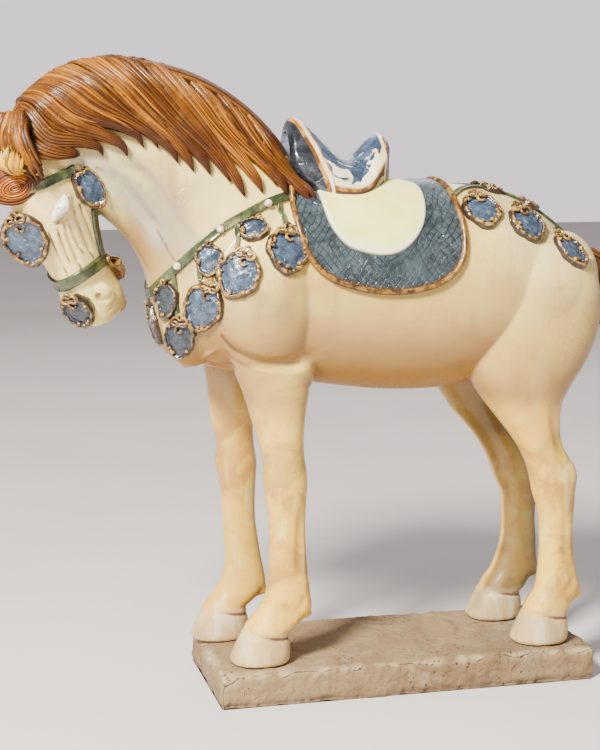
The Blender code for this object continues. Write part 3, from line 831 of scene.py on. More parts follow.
def build_cloth(cloth, rim, pad, skin):
    def place(u, v, h):
        p, n = skin.girth(CLOTH_CENTRE + u, math.radians(v))
        return p + n * h

    outline = girth_outline(CLOTH, CLOTH_CENTRE, 200)
    rings = 64
    body = [(k / rings * 0.985, CLOTH_LIFT) for k in range(1, rings + 1)]
    add_plate(cloth, place, outline, body + [(0.99, CLOTH_LIFT - 1.2)], 3.0)
    path, flat = [], []
    for u, v in outline + outline[:1]:
        p, n = skin.girth(CLOTH_CENTRE + u * 0.985, math.radians(v * 0.985))
        path.append(p + n * (CLOTH_LIFT - 0.2))
        flat.append(n)
    add_sweep(rim, path, [2.7] * len(path), [2.5] * len(path), flat, 12, 420)
    rings = 40
    outline = girth_outline(PAD, CLOTH_CENTRE, 160)
    body = [(k / rings * 0.95, PAD_LIFT + 0.6 * (1 - (k / rings) ** 4)) for k in range(1, rings + 1)]
    edge = [(0.965, PAD_LIFT - 0.1), (0.98, PAD_LIFT - 0.5), (0.992, PAD_LIFT - 1.3), (1.0, PAD_LIFT - 2.4)]
    add_plate(pad, place, outline, body + edge, 3.0)


def build_saddle(clay):
    rings = []
    rows = spline_rows(SADDLE, 90)
    for k, (x, top, half, edge) in enumerate(rows):
        half, edge = max(half, 4), min(edge, top - 6)
        s = k / (len(rows) - 1)
        bead = 1.6 * math.exp(-((s - 0.10) / 0.035) ** 2) + 1.8 * math.exp(-((s - 0.90) / 0.035) ** 2)
        dish = 1.2 * math.exp(-((s - 0.5) / 0.28) ** 2)
        ring = [(x, -half * 0.75, 400), (x, -half * 0.95, edge - 8)]
        for j in range(49):
            t = -1 + 2 * j / 48
            rise = (1 - abs(t) ** 1.9) ** (1 / 1.35)
            hem = 1.5 * math.exp(-((abs(t) - 0.93) / 0.05) ** 2)
            out = (bead + hem - dish * (1 - t * t)) * 0.8
            level = edge + (top - edge) * rise + out * (1 - abs(t))
            ring.append((x, half * t + math.copysign(out * abs(t), t), level))
        ring += [(x, half * 0.95, edge - 8), (x, half * 0.75, 400)]
        rings.append(ring)
    hollow = np.array(rings[0])
    heart = hollow.mean(axis=0) + (0.0, 0.0, 4.0)
    for share, push in ((0.86, 0.6), (0.72, 3.0), (0.5, 4.6)):
        rings.insert(0, heart + (hollow - heart) * share + (push, 0.0, 0.0))

    def tags(along, size):
        return [(along, max(-1.0, min(1.0, -1 + 2 * (i - 2) / 48)), 0.0) for i in range(size)]

    add_loft(clay, rings, tags)


def lock_path(skin, lock, side, lifts):
    """The middle line of a lock from the crest to its hooked tip, lying on the neck."""
    rx, rz, mx, mz, tx, tz = lock[:6]
    sway = -16 if rx < -200 else -4
    hook = min(8.0, max(0.0, (mz - tz) * 0.4))
    places = (
        (rx, sway * 0.8, rz - 7),
        ((rx + mx) / 2, sway + side * 26, (rz + mz) / 2 + 4),
        (mx, sway + side * 34, mz),
        ((mx + 2 * tx) / 3 - 1, sway + side * 42, (mz + 2 * tz) / 3 + hook),
        (tx - 3, sway + side * 45, tz + hook),
        (tx, sway + side * 46, tz),
    )
    path, flat = [], []
    for (x, y, z), lift in zip(places, lifts):
        p, n = skin.nearest((x, y, z))
        path.append(p + n * lift)
        flat.append(n)
    return path, flat


def build_mane(clay, skin, rng):
    """The ridge along the crest, the hanging locks with their hooked tips, and fine strands over them."""
    ridge = spline_rows(MANE_RIDGE, 12)
    add_sweep(clay, ridge[:, :3] - (0, 0, 3.5), ridge[:, 3], ridge[:, 4], [(0.0, 0.0, 1.0)] * 12, 48, 90, 11,
              0.07, 0.5)
    locks = np.array(MANE_LOCKS, dtype=float)
    for side in (-1, 1):
        for row in locks:
            path, flat = lock_path(skin, row, side, (8, 9, 7, 5.5, 4.5, 2.0))
            half = row[6]
            wide = [half, half, half * 0.96, half * 0.56, half * 0.32, 0.5]
            add_sweep(clay, path, [4.6, 4.8, 4.8, 4.2, 3.2, 0.8], wide, flat, 40, 32, 6, 0.20, rng.random(),
                      rng.uniform(0, 6.28))
        for k in range(STRANDS):
            q = (len(locks) - 1) * (k + rng.uniform(-0.4, 0.4)) / (STRANDS - 1)
            q = min(max(q, 0.0), len(locks) - 1.001)
            i = int(q)
            row = locks[i] * (1 - (q - i)) + locks[i + 1] * (q - i)
            near = locks[int(round(q))]
            row[4:6] = near[4:6] * 0.90 + row[4:6] * 0.10
            row[0] += rng.uniform(-3, 3)
            row[2] += rng.uniform(-2, 2)
            raised = rng.uniform(-0.8, 1.6)
            lifts = [h + raised for h in (9.6, 12.0, 10.2, 8.4, 6.2, 3.0)]
            path, flat = lock_path(skin, row, side, lifts)
            over, up = skin.nearest(path[0] - np.array((rng.uniform(2, 7), side * 16.0, 8.0)))
            path.insert(0, over + up * 6.5)
            flat.insert(0, up)
            rows = spline_rows([tuple(p) + tuple(n) for p, n in zip(path, flat)], 12)
            rows = rows[: int(round(12 * rng.uniform(0.62, 1.0)))]
            size = len(rows)
            girth = rng.uniform(1.5, 2.5)
            wide = [girth * (1 - 0.85 * (j / (size - 1)) ** 2.5) for j in range(size)]
            add_sweep(clay, rows[:, :3], [w * 0.9 for w in wide], wide, rows[:, 3:6], 8, 22, 0, 0.0,
                      rng.random())


def build_forelock(clay, rng):
    """The rolled forelock: coils facing the near side of the brow."""
    _, down, nose, far = head_frame()
    facing = (nose - far) / math.sqrt(2)
    level = (nose + far) / math.sqrt(2)
    centre = head_point(*BUN_CENTRE) - down * 4
    for r, tube, push in ((1.0, 6.5, 0.0), (0.62, 4.6, 3.4), (0.28, 3.6, 5.0)):
        coil = []
        for k in range(16):
            angle = math.radians(-160 + 24 * k)
            aside = level * math.cos(angle) + down * math.sin(angle) * BUN_FLATNESS
            coil.append(centre + aside * BUN_RADIUS * 1.12 * r + facing * push)
        add_sweep(clay, coil, [tube] * 16, [tube] * 16, [facing] * 16, 40, 80, 9, 0.11, rng.random())
    add_sweep(clay, [centre - facing * 12, centre, centre + facing * 4], [9, 10, 6], [13, 14, 8], [down] * 3,
              30, 14, 5, 0.08, rng.random())


def build_tuft(clay, rng):
    """Short pointed locks over the coil, fanning up from it like a flame."""
    _, down, nose, far = head_frame()
    heart = head_point(-17, 28, -19)
    add_sweep(clay, [heart + down * 8 - nose * 6, heart, heart - down * 6 - nose * 7], [6, 8, 4], [8, 10, 5],
              [nose] * 3, 36, 20, 9, 0.06, 0.6)
    for k in range(17):
        s = -1 + k / 8
        foot = heart + down * 8 - far * 4 * s + nose * 2
        rise = (12 + rng.uniform(-2, 5)) * (1 - 0.55 * s * s)
        tip = heart - down * rise - far * 15 * s - nose * rng.uniform(0, 6)
        middle = (foot + tip) / 2 + nose * (6 - 4 * s * s) - far * 2 * s
        add_sweep(clay, [foot, middle, tip], [1.8, 2.2, 0.5], [2.2, 3.0, 0.5], [nose] * 3, 12, 18, 0, 0.0,
                  rng.random())


def build_brow_hair(clay, rng):
    """The front of the mane, falling from the poll over the brow to the coil."""
    for k in range(BROW_STRANDS):
        q = -1 + k / ((BROW_STRANDS - 1) / 2)
        low = 2.0 * (k % 2)
        root = head_point(-44 + rng.uniform(-3, 3), -2 - low, -2 - 15 * q)
        shoulder = head_point(-34, 14 - 4 * abs(q) - low, -5 - 20 * q)
        middle = head_point(-18, 21 - 6 * abs(q) + rng.uniform(-1, 2) - low, -8 - 25 * q)
        tip = head_point(0 + rng.uniform(-8, 8), 21 - 5 * abs(q) - low, -10 - 26 * q)
        add_sweep(clay, [root, shoulder, middle, tip], [2.4, 2.8, 2.4, 0.7], [2.0, 2.6, 2.2, 0.7],
                  [head_frame()[2]] * 4, 8, 16, 0, 0.0, rng.random())


def build_tail(clay):
    path = [(176, 0, 348), (190, 0, 344), (201, 0, 334), (205, 0, 314), (202, 0, 296), (195, 0, 282)]
    flat = [(0.5, 0, 1), (0.7, 0, 1), (1, 0, 0.6), (1, 0, 0), (1, 0, -0.2), (1, 0, -0.4)]
    add_sweep(clay, path, [11, 11, 11, 10, 8, 2], [14, 13, 12, 12, 9, 2], flat, 48, 44, 8, 0.10, 0.4)


def add_blob(clay, centre, sizes):
    """An ellipsoid along the main directions."""
    rings = []
    for k in range(1, 26):
        lat = math.pi * k / 26
        x = centre[0] - sizes[0] * math.cos(lat)
        r = math.sin(lat)
        rings.append(oval((x, centre[1], centre[2]), (0, 0, 1), (0, 1, 0), sizes[2] * r, sizes[2] * r,
                          sizes[1] * r, 44, 2.0))
    add_loft(clay, rings)


def build_trunk(clay):
    rings = []
    for x, top, bottom, half in spline_rows(TRUNK, 90):
        middle = bottom + (top - bottom) * 0.47
        above, below = top - middle, middle - bottom
        rings.append(oval((x, 0, middle), (0, 0, 1), (0, 1, 0), above, below, half, 84, 2.25))
    add_loft(clay, rings)
    for x, out, z, a, b, c in MUSCLES:
        for side in (-1, 1):
            add_blob(clay, (x, side * out, z), (a, b, c))


def build_neck(clay):
    rings = []
    for tx, tz, cx, cz, half, y in spline_rows(NECK, 60):
        throat = np.array((tx, y, tz))
        crest = np.array((cx, y, cz))
        length = np.linalg.norm(crest - throat)
        up = (crest - throat) / length
        middle = throat + up * length * 0.45
        rings.append(oval(middle, up, (0, 1, 0), length * 0.55, length * 0.45, half, 72, 2.05))
    add_loft(clay, rings)


def build_leg(clay, table, hoof_back, side, steps=((0, 0), (1, 0)), slim=1.0):
    """One leg with its hoof; side is -1 for the horse's left, steps move it along X by height."""
    rings = []
    heights, moves = zip(*steps)
    for z, front, back, out, half in spline_rows(table, 90):
        shift = float(np.interp(z, heights, moves))
        y = side * (STANCE + out)
        rings.append(oval(((front + back) / 2 + shift, y, z), (1, 0, 0), (0, 1, 0),
                          (back - front) / 2 * slim, (back - front) / 2 * slim, half * slim, 52, 2.15))
    add_loft(clay, rings)
    y = side * STANCE
    step = moves[0]
    rings = []
    for z, front, back, half in HOOF:
        rings.append(oval((hoof_back + (front + back) / 2 + step, y, z), (1, 0, 0), (0, 1, 0),
                          (back - front) / 2, (back - front) / 2, half, 52, 2.3))
    add_loft(clay, rings)
    reach = FORE_ERGOT_REACH if table is FORELEG else HIND_ERGOT_REACH
    back = hoof_back + float(np.interp(ERGOT_HEIGHT, heights, moves)) + reach
    wedge = [(back - 6, y, ERGOT_HEIGHT + 30), (back - 3, y, ERGOT_HEIGHT + 12), (back, y, ERGOT_HEIGHT)]
    add_sweep(clay, wedge, [4, 7, 8], [7, 9, 10], [(1, 0, 0.2)] * 3)


def head_frame():
    """The poll, and the directions down the face, towards the nose line and towards the far side."""
    down = np.array((math.cos(HEAD_TURN) * math.sin(HEAD_TUCK), math.sin(HEAD_TURN) * math.sin(HEAD_TUCK),
                     -math.cos(HEAD_TUCK)))
    nose = np.array((-math.cos(HEAD_TURN) * math.cos(HEAD_TUCK), -math.sin(HEAD_TURN) * math.cos(HEAD_TUCK),
                     -math.sin(HEAD_TUCK)))
    far = np.array((-math.sin(HEAD_TURN), math.cos(HEAD_TURN), 0.0))
    return np.array(HEAD_POLL), down, nose, far


def head_point(along, ahead, across):
    """A point of the head: along the face, towards the nose line, and towards the far side."""
    poll, down, nose, far = head_frame()
    return poll + down * along + nose * ahead + far * across


def on_head(path, side):
    """A path in the head's directions, on the far side (1) or the near side (-1)."""
    return [head_point(t, a, s * side) for t, a, s in path]


def build_head(clay):
    poll, down, nose, far = head_frame()
    rings = []
    for along, front, jaw, half in spline_rows(HEAD, 70):
        rings.append(oval(poll + down * along, nose, far, front, jaw, half, 64, 2.25))
    add_loft(clay, rings)
    eye = [(EYE_DISTANCE + d, 3 + 1.6 * d, s) for d, s in ((-6, 25), (-1, 27), (3, 26), (7, 21))]
    for side in (-1, 1):
        outward = [far * side] * 4
        add_sweep(clay, on_head(eye, side), [1, 5, 5, 1], [1, 5.5, 5.5, 1], outward, 12, 12)
        nostril = on_head(((114, 4, 17), (123, -3, 20), (133, -8, 18)), side)
        add_sweep(clay, nostril, [3, 5, 3], [4, 6, 4], outward, 12, 10)
        jowl = on_head(((18, -24, 17), (36, -24, 20), (58, -22, 18)), side)
        add_sweep(clay, jowl, [5, 11, 5], [9, 18, 8], outward, 16, 14)
        ear = on_head(((4, 12, 17), (-8, 13, 21), (-19, 10, 22)), side)
        add_sweep(clay, ear, [4, 4.5, 1], [6, 7, 1.5], [nose] * 3, 12, 12)
    chin = [head_point(d, a, 0) for d, a in ((110, -28), (122, -36), (131, -34))]
    add_sweep(clay, chin, [5, 6.5, 4], [9, 12, 9], [nose] * 3, 14, 12)
    lips = [head_point(145, -18, s) for s in (-12, 0, 12)]
    add_sweep(clay, lips, [9, 11, 9], [8, 9, 8], [down] * 3, 14, 12)


class Paint:
    """A procedural material: nodes are added by short calls and linked by hand-over."""

    def __init__(self, name, roughness=0.25, coat=0.0, coat_roughness=0.05):
        self.material = bpy.data.materials.new(name)
        self.material.use_nodes = True
        self.tree = self.material.node_tree
        self.shader = self.tree.nodes["Principled BSDF"]
        self.shader.inputs["Roughness"].default_value = roughness
        self.shader.inputs["Coat Weight"].default_value = coat
        self.shader.inputs["Coat Roughness"].default_value = coat_roughness
        self.place = self.tree.nodes.new("ShaderNodeTexCoord").outputs["Object"]

    def put(self, socket, value):
        if isinstance(value, bpy.types.NodeSocket):
            self.tree.links.new(value, socket)
        elif isinstance(value, tuple) and len(value) == 3 and socket.type == "RGBA":
            socket.default_value = value + (1.0,)
        else:
            socket.default_value = value

    def math(self, kind, a, b=0.0, c=0.0):
        node = self.tree.nodes.new("ShaderNodeMath")
        node.operation = kind
        for socket, value in zip(node.inputs, (a, b, c)):
            self.put(socket, value)
        return node.outputs[0]

    def times(self, a, b):
        return self.math("MULTIPLY", a, b)

    def mix(self, share, a, b):
        node = self.tree.nodes.new("ShaderNodeMix")
        node.data_type = "RGBA"
        node.clamp_factor = True
        self.put(node.inputs["Factor"], share)
        self.put(node.inputs[6], a)
        self.put(node.inputs[7], b)
        return node.outputs[2]

    def step(self, value, low, high, start=0.0, end=1.0):
        """A smooth rise of a value from start to end between low and high."""
        node = self.tree.nodes.new("ShaderNodeMapRange")
        node.interpolation_type = "SMOOTHSTEP"
        self.put(node.inputs["Value"], value)
        for name, number in (("From Min", low), ("From Max", high), ("To Min", start), ("To Max", end)):
            node.inputs[name].default_value = number
        return node.outputs[0]

    def noise(self, scale, detail=4.0, rough=0.55, warp=0.0, where=None):
        node = self.tree.nodes.new("ShaderNodeTexNoise")
        self.put(node.inputs["Vector"], where or self.place)
        node.inputs["Scale"].default_value = scale
        node.inputs["Detail"].default_value = detail
        node.inputs["Roughness"].default_value = rough
        node.inputs["Distortion"].default_value = warp
        return node.outputs["Fac"]

    def cells(self, scale, feature="DISTANCE_TO_EDGE", where=None):
        node = self.tree.nodes.new("ShaderNodeTexVoronoi")
        node.feature = feature
        self.put(node.inputs["Vector"], where or self.place)
        node.inputs["Scale"].default_value = scale
        return node.outputs["Distance"]

    def moved(self, amount, scale):
        """The place pushed about by noise, for crooked cracks."""
        noise_node = self.tree.nodes.new("ShaderNodeTexNoise")
        self.put(noise_node.inputs["Vector"], self.place)
        noise_node.inputs["Scale"].default_value = scale
        node = self.tree.nodes.new("ShaderNodeVectorMath")
        node.operation = "MULTIPLY_ADD"
        self.put(node.inputs[0], noise_node.outputs["Color"])
        node.inputs[1].default_value = (amount, amount, amount)
        self.put(node.inputs[2], self.place)
        return node.outputs[0]

    def blots(self, colour, tone, most, low, high, *kind):
        """A colour covered by another one, at most by the given share, where a noise is high."""
        return self.mix(self.step(self.noise(*kind), low, high, 0.0, most), colour, tone)

    def sway(self, amount, *kind):
        """A noise around zero."""
        return self.times(self.math("SUBTRACT", self.noise(*kind), 0.5), amount)

    def gloss(self, low, high, *kind):
        """An uneven roughness."""
        return self.step(self.noise(*kind), 0.3, 0.75, low, high)

    def parts(self, source):
        node = self.tree.nodes.new("ShaderNodeSeparateXYZ")
        self.put(node.inputs[0], source)
        return node.outputs[0], node.outputs[1], node.outputs[2]

    def tag(self):
        """The three parts of a point's tag."""
        node = self.tree.nodes.new("ShaderNodeAttribute")
        node.attribute_name = "tag"
        return self.parts(node.outputs["Vector"])

    def ways(self):
        """How much the surface faces along each of the main directions."""
        return self.parts(self.tree.nodes.new("ShaderNodeNewGeometry").outputs["Normal"])

    def spot(self):
        return self.parts(self.place)

    def bump(self, height, distance=0.001, strength=1.0):
        node = self.tree.nodes.new("ShaderNodeBump")
        node.inputs["Strength"].default_value = strength
        node.inputs["Distance"].default_value = distance
        self.put(node.inputs["Height"], height)
        self.put(self.shader.inputs["Normal"], node.outputs[0])
        self.put(self.shader.inputs["Coat Normal"], node.outputs[0])

    def done(self, colour, roughness=None):
        self.put(self.shader.inputs["Base Color"], colour)
        if roughness is not None:
            self.put(self.shader.inputs["Roughness"], roughness)
        return self.material


def rgb(r, g, b):
    """A linear colour from 0 to 255 numbers. They are deeper than seen, because strong light pales them."""
    return tuple(((c / 255 + 0.055) / 1.055) ** 2.4 if c > 10 else c / 255 / 12.92 for c in (r, g, b))


def glaze_skin(p, colour, height, wear=0.5):
    """What all the glazes share: fine crazing and pin holes, in the colour and in the height."""
    where = p.moved(0.010, 60.0)
    crack = p.step(p.cells(105.0, where=where), 0.0, 0.022, 1.0, 0.0)
    crack = p.times(crack, p.step(p.noise(14.0), 0.46, 0.60))
    pits = p.step(p.cells(260.0, "F1"), 0.05, 0.13, 1.0, 0.0)
    pits = p.times(pits, p.step(p.noise(35.0), 0.60, 0.66))
    colour = p.mix(p.times(crack, 0.30 * wear), colour, rgb(120, 84, 52))
    colour = p.mix(p.times(pits, 0.55 * wear), colour, rgb(90, 62, 40))
    low = p.math("MULTIPLY_ADD", p.noise(75.0, 5.0, 0.6), 0.35, height)
    low = p.math("SUBTRACT", low, p.times(p.math("ADD", crack, p.times(pits, 2.0)), 0.25))
    return colour, low


def cream_paint():
    p = Paint("cream_glaze", 0.28, 0.38, 0.07)
    hollow, shade, dark = p.tag()
    x, y, z = p.spot()
    _, ny, nz = p.ways()
    broad = p.noise(5.5, 4.0, 0.55, 0.8)
    cloudy = p.noise(17.0, 5.0, 0.6, 0.6)
    colour = p.mix(p.step(broad, 0.36, 0.62), rgb(246, 226, 126), rgb(230, 194, 100))
    colour = p.mix(p.step(cloudy, 0.46, 0.68, 0.0, 0.75), colour, rgb(218, 170, 88))
    # Chest and neck are paler, with green and grey patches.
    drift = p.math("MULTIPLY_ADD", p.noise(6.0, 3.0, 0.5), 0.16, x)
    front = p.times(p.step(drift, 0.04, -0.12), p.step(z, 0.29, 0.40))
    patch = p.step(p.noise(7.0, 3.0, 0.5, 0.4), 0.40, 0.56)
    colour = p.mix(p.times(front, p.times(patch, 0.70)), colour, rgb(250, 238, 160))
    colour = p.blots(colour, rgb(226, 220, 126), 0.55, 0.54, 0.70, 11.0, 3.0, 0.5, 1.2)
    colour = p.blots(colour, rgb(156, 146, 100), 0.65, 0.54, 0.70, 8.0, 3.0, 0.5, 0.6)
    # The rump is greyer.
    rump = p.times(p.step(x, 0.03, 0.12), p.step(z, 0.30, 0.37))
    colour = p.mix(p.times(rump, p.step(broad, 0.40, 0.58, 0.15, 0.60)), colour, rgb(218, 204, 156))
    # The legs are ochre, marbled with olive, brown and pale patches.
    low_down = p.step(z, 0.36, 0.20)
    colour = p.mix(p.times(low_down, 0.82), colour, rgb(228, 176, 56))
    for scale, warp, low, high, most, tone in ((13.0, 1.0, 0.53, 0.68, 0.60, rgb(138, 118, 62)),
                                               (21.0, 0.8, 0.46, 0.64, 0.75, rgb(170, 118, 48)),
                                               (26.0, 0.8, 0.56, 0.70, 0.60, rgb(228, 214, 120))):
        patch = p.step(p.noise(scale, 4.0, 0.6, warp), low, high, 0.0, most)
        colour = p.mix(p.times(low_down, patch), colour, tone)
    # Runs of the glaze, long in height.
    streak = p.tree.nodes.new("ShaderNodeMapping")
    p.put(streak.inputs["Vector"], p.place)
    streak.inputs["Scale"].default_value = (60.0, 60.0, 7.0)
    run = p.noise(1.0, 3.0, 0.5, 0.3, streak.outputs[0])
    colour = p.mix(p.step(run, 0.54, 0.74, 0.0, 0.40), colour, rgb(186, 132, 76))
    colour = p.mix(p.step(run, 0.44, 0.30, 0.0, 0.35), colour, rgb(232, 222, 150))
    # Painted shade inside the legs, deepest on the hind legs; the muzzle is warmer.
    inner = p.times(p.times(ny, y), 1 / (STANCE * MM))
    inner = p.times(p.step(inner, -0.02, -0.34), p.step(z, 0.30, 0.26))
    inner = p.times(inner, p.step(x, 0.0, 0.10, 0.22, 0.80))
    colour = p.mix(inner, colour, p.mix(p.step(x, 0.0, 0.10), rgb(120, 88, 50), rgb(76, 56, 32)))
    colour = p.mix(p.step(x, -0.26, -0.30, 0.0, 0.40), colour, rgb(236, 196, 132))
    # Painted shade under the belly, where the glaze is browner as well.
    under = p.times(p.step(nz, 0.50, -0.45), p.step(z, 0.24, 0.27))
    under = p.times(under, p.step(x, -0.27, -0.23))
    colour = p.mix(p.times(under, 0.92), colour, rgb(148, 108, 56))
    # The hooves, with grey streaks and pale streaks of painted sheen along the runs.
    colour = p.mix(p.times(p.step(z, 0.066, 0.056), 0.80), colour, rgb(190, 164, 118))
    hoof = p.step(z, 0.062, 0.056)
    for low, high, most, tone in ((0.50, 0.62, 0.40, rgb(132, 116, 92)),
                                  (0.46, 0.36, 0.32, rgb(226, 214, 186))):
        colour = p.mix(p.times(p.times(hoof, p.step(run, low, high)), most), colour, tone)
    # Painted shade that the tags mark: brown in the hollows, where the glaze also pools; grey shade on the
    # neck; dark lines in the folds and creases, as shade and pooled glaze. Then dark specks.
    colour = p.mix(p.times(shade, 0.85), colour, rgb(150, 148, 136))
    colour = p.mix(p.step(hollow, 0.08, 0.50, 0.0, 0.95), colour, rgb(116, 74, 38))
    colour = p.mix(p.step(dark, 0.02, 0.60, 0.0, 0.90), colour, rgb(92, 52, 26))
    colour, low = glaze_skin(p, colour, cloudy, 0.9)
    speck = p.times(p.step(p.cells(420.0, "F1"), 0.10, 0.20, 1.0, 0.0), p.step(p.noise(48.0), 0.58, 0.64))
    colour = p.mix(p.times(speck, 0.60), colour, rgb(112, 72, 42))
    p.bump(low, 0.0012, 0.40)
    # Faces turned to the floor hardly mirror it.
    coat = p.times(p.step(z, 0.09, 0.26, 0.04, 0.38), p.step(nz, -0.7, -0.2, 0.1, 1.0))
    p.put(p.shader.inputs["Coat Weight"], coat)
    p.put(p.shader.inputs["Specular IOR Level"], p.step(nz, -0.85, -0.10, 0.05, 0.40))
    rough = p.gloss(0.18, 0.46, 30.0, 5.0)
    return p.done(colour, p.math("ADD", rough, p.step(z, 0.24, 0.10, 0.0, 0.20)))


def amber_paint(name, low_tone, high_tone):
    p = Paint(name, 0.42, 0.06, 0.12)
    p.shader.inputs["Specular IOR Level"].default_value = 0.26
    along, groove, strand = p.tag()
    colour = p.blots(low_tone, high_tone, 1.0, 0.35, 0.66, 30.0, 4.0, 0.6, 0.5)
    colour = p.mix(p.step(strand, 0.60, 0.95, 0.0, 0.60), colour, rgb(176, 108, 24))
    colour = p.mix(p.step(strand, 0.40, 0.05, 0.0, 0.75), colour, rgb(56, 29, 8))
    # Painted glints on the crests of the strands; painted shade darkens the grooves and the undersides of the
    # strands.
    glint = p.times(p.step(p.noise(48.0, 4.0, 0.6), 0.54, 0.70), p.step(groove, 0.60, 0.95))
    colour = p.mix(p.times(glint, 0.22), colour, rgb(204, 140, 50))
    colour = p.mix(p.step(groove, 0.70, 0.24, 0.0, 0.94), colour, rgb(40, 18, 5))
    colour = p.mix(p.step(along, 0.76, 0.96, 0.0, 0.80), colour, rgb(62, 24, 6))
    colour, low = glaze_skin(p, colour, groove, 0.3)
    p.bump(low, 0.0010, 0.40)
    return p.done(colour, p.gloss(0.24, 0.52, 60.0, 4.0))


def pendant_paint(name, deep, mid, pale, gold_low, gold_high):
    p = Paint(name, 0.30, 0.25, 0.06)
    share = p.tag()[2]
    mottle = p.noise(120.0, 5.0, 0.62, 1.4)
    inner = p.mix(p.step(mottle, 0.38, 0.62), deep, mid)
    inner = p.blots(inner, pale, 0.75, 0.60, 0.68, 150.0, 4.0, 0.6, 2.0)
    inner = p.blots(inner, rgb(30, 36, 46), 0.70, 0.58, 0.70, 90.0, 4.0, 0.6, 1.0)
    gold = p.blots(gold_low, gold_high, 1.0, 0.40, 0.60, 170.0, 4.0)
    gold = p.blots(gold, rgb(34, 22, 14), 0.90, 0.50, 0.60, 120.0, 4.0, 0.6, 1.0)
    ring = p.math("ADD", share, p.sway(0.05, 110.0, 3.0))
    colour = p.mix(p.step(ring, 0.755, 0.785), inner, gold)
    line = p.times(p.step(ring, 0.705, 0.735), p.step(ring, 0.775, 0.755))
    colour = p.mix(p.times(line, 0.8), colour, rgb(34, 24, 20))
    # The outer slope of the rim is dark: dark glaze with painted shadow where the pendant meets the skin.
    colour = p.mix(p.step(ring, 0.90, 0.95, 0.0, 0.95), colour, rgb(36, 28, 26))
    colour, low = glaze_skin(p, colour, mottle, 0.5)
    p.bump(low, 0.0012, 0.5)
    return p.done(colour, p.gloss(0.12, 0.38, 80.0, 4.0))


def gold_paint(name, base, light, dark):
    p = Paint(name, 0.30, 0.25, 0.08)
    colour = p.blots(base, light, 1.0, 0.40, 0.62, 110.0, 4.0, 0.6, 0.8)
    colour = p.blots(colour, dark, 0.85, 0.51, 0.62, 130.0, 4.0, 0.6)
    # Faces turned down are painted darker, as shade.
    colour = p.mix(p.step(p.ways()[2], -0.1, -0.8, 0.0, 0.7), colour, dark)
    colour, low = glaze_skin(p, colour, p.noise(200.0), 0.5)
    p.bump(low, 0.0010, 0.4)
    return p.done(colour, p.gloss(0.18, 0.45, 70.0, 4.0))


def strap_paint():
    p = Paint("green_straps", 0.30, 0.4, 0.08)
    edge = p.tag()[1]
    colour = p.blots(rgb(42, 52, 26), rgb(74, 84, 46), 1.0, 0.40, 0.64, 90.0, 4.0, 0.6, 0.8)
    colour = p.blots(colour, rgb(126, 116, 74), 0.75, 0.60, 0.70, 60.0, 4.0, 0.6, 0.8)
    colour = p.mix(p.step(edge, 0.55, 0.8, 0.0, 0.70), colour, rgb(42, 42, 26))
    colour, low = glaze_skin(p, colour, p.noise(180.0), 0.5)
    p.bump(low, 0.0010, 0.4)
    return p.done(colour, p.gloss(0.18, 0.45, 70.0, 4.0))


def cloth_paint():
    p = Paint("blue_cloth", 0.28, 0.45, 0.06)
    u, v, share = p.tag()
    a = p.math("ADD", p.math("DIVIDE", u, NET_STEP), p.sway(3.6, 26.0, 3.0))
    b = p.math("DIVIDE", v, NET_STEP * 0.85)
    lines = None
    for kind in ("ADD", "SUBTRACT"):
        wave = p.math("PINGPONG", p.math(kind, a, b), 0.5)
        line = p.step(wave, 0.01, 0.10, 1.0, 0.0)
        lines = line if lines is None else p.math("MAXIMUM", lines, line)
    mottle = p.noise(60.0, 5.0, 0.62, 1.2)
    colour = p.mix(p.step(mottle, 0.36, 0.62), rgb(34, 44, 48), rgb(60, 74, 80))
    colour = p.blots(colour, rgb(100, 114, 116), 0.6, 0.56, 0.70, 110.0, 4.0, 0.6, 1.2)
    colour = p.blots(colour, rgb(66, 76, 50), 0.5, 0.58, 0.72, 40.0, 4.0, 0.6, 1.2)
    fade = p.step(p.noise(36.0, 3.0), 0.34, 0.58, 0.30, 0.95)
    colour = p.mix(p.times(lines, fade), colour, rgb(14, 18, 20))
    colour = p.mix(p.step(share, 0.935, 0.975), colour, rgb(74, 50, 28))
    colour, low = glaze_skin(p, colour, mottle, 0.4)
    low = p.math("SUBTRACT", low, p.times(lines, 1.4))
    p.bump(low, 0.0010, 0.6)
    return p.done(colour, p.gloss(0.14, 0.40, 60.0, 4.0))


def pad_paint():
    p = Paint("pale_pad", 0.34, 0.35, 0.08)
    share = p.tag()[2]
    colour = p.blots(rgb(247, 242, 150), rgb(236, 228, 118), 1.0, 0.38, 0.62, 16.0, 4.0, 0.55, 0.6)
    colour = p.mix(p.step(share, 0.90, 0.97, 0.0, 0.8), colour, rgb(240, 236, 206))
    colour = p.mix(p.step(share, 0.975, 1.0, 0.0, 0.8), colour, rgb(60, 52, 38))
    colour, low = glaze_skin(p, colour, p.noise(30.0), 0.7)
    p.bump(low, 0.0010, 0.3)
    return p.done(colour, p.gloss(0.24, 0.50, 40.0, 4.0))


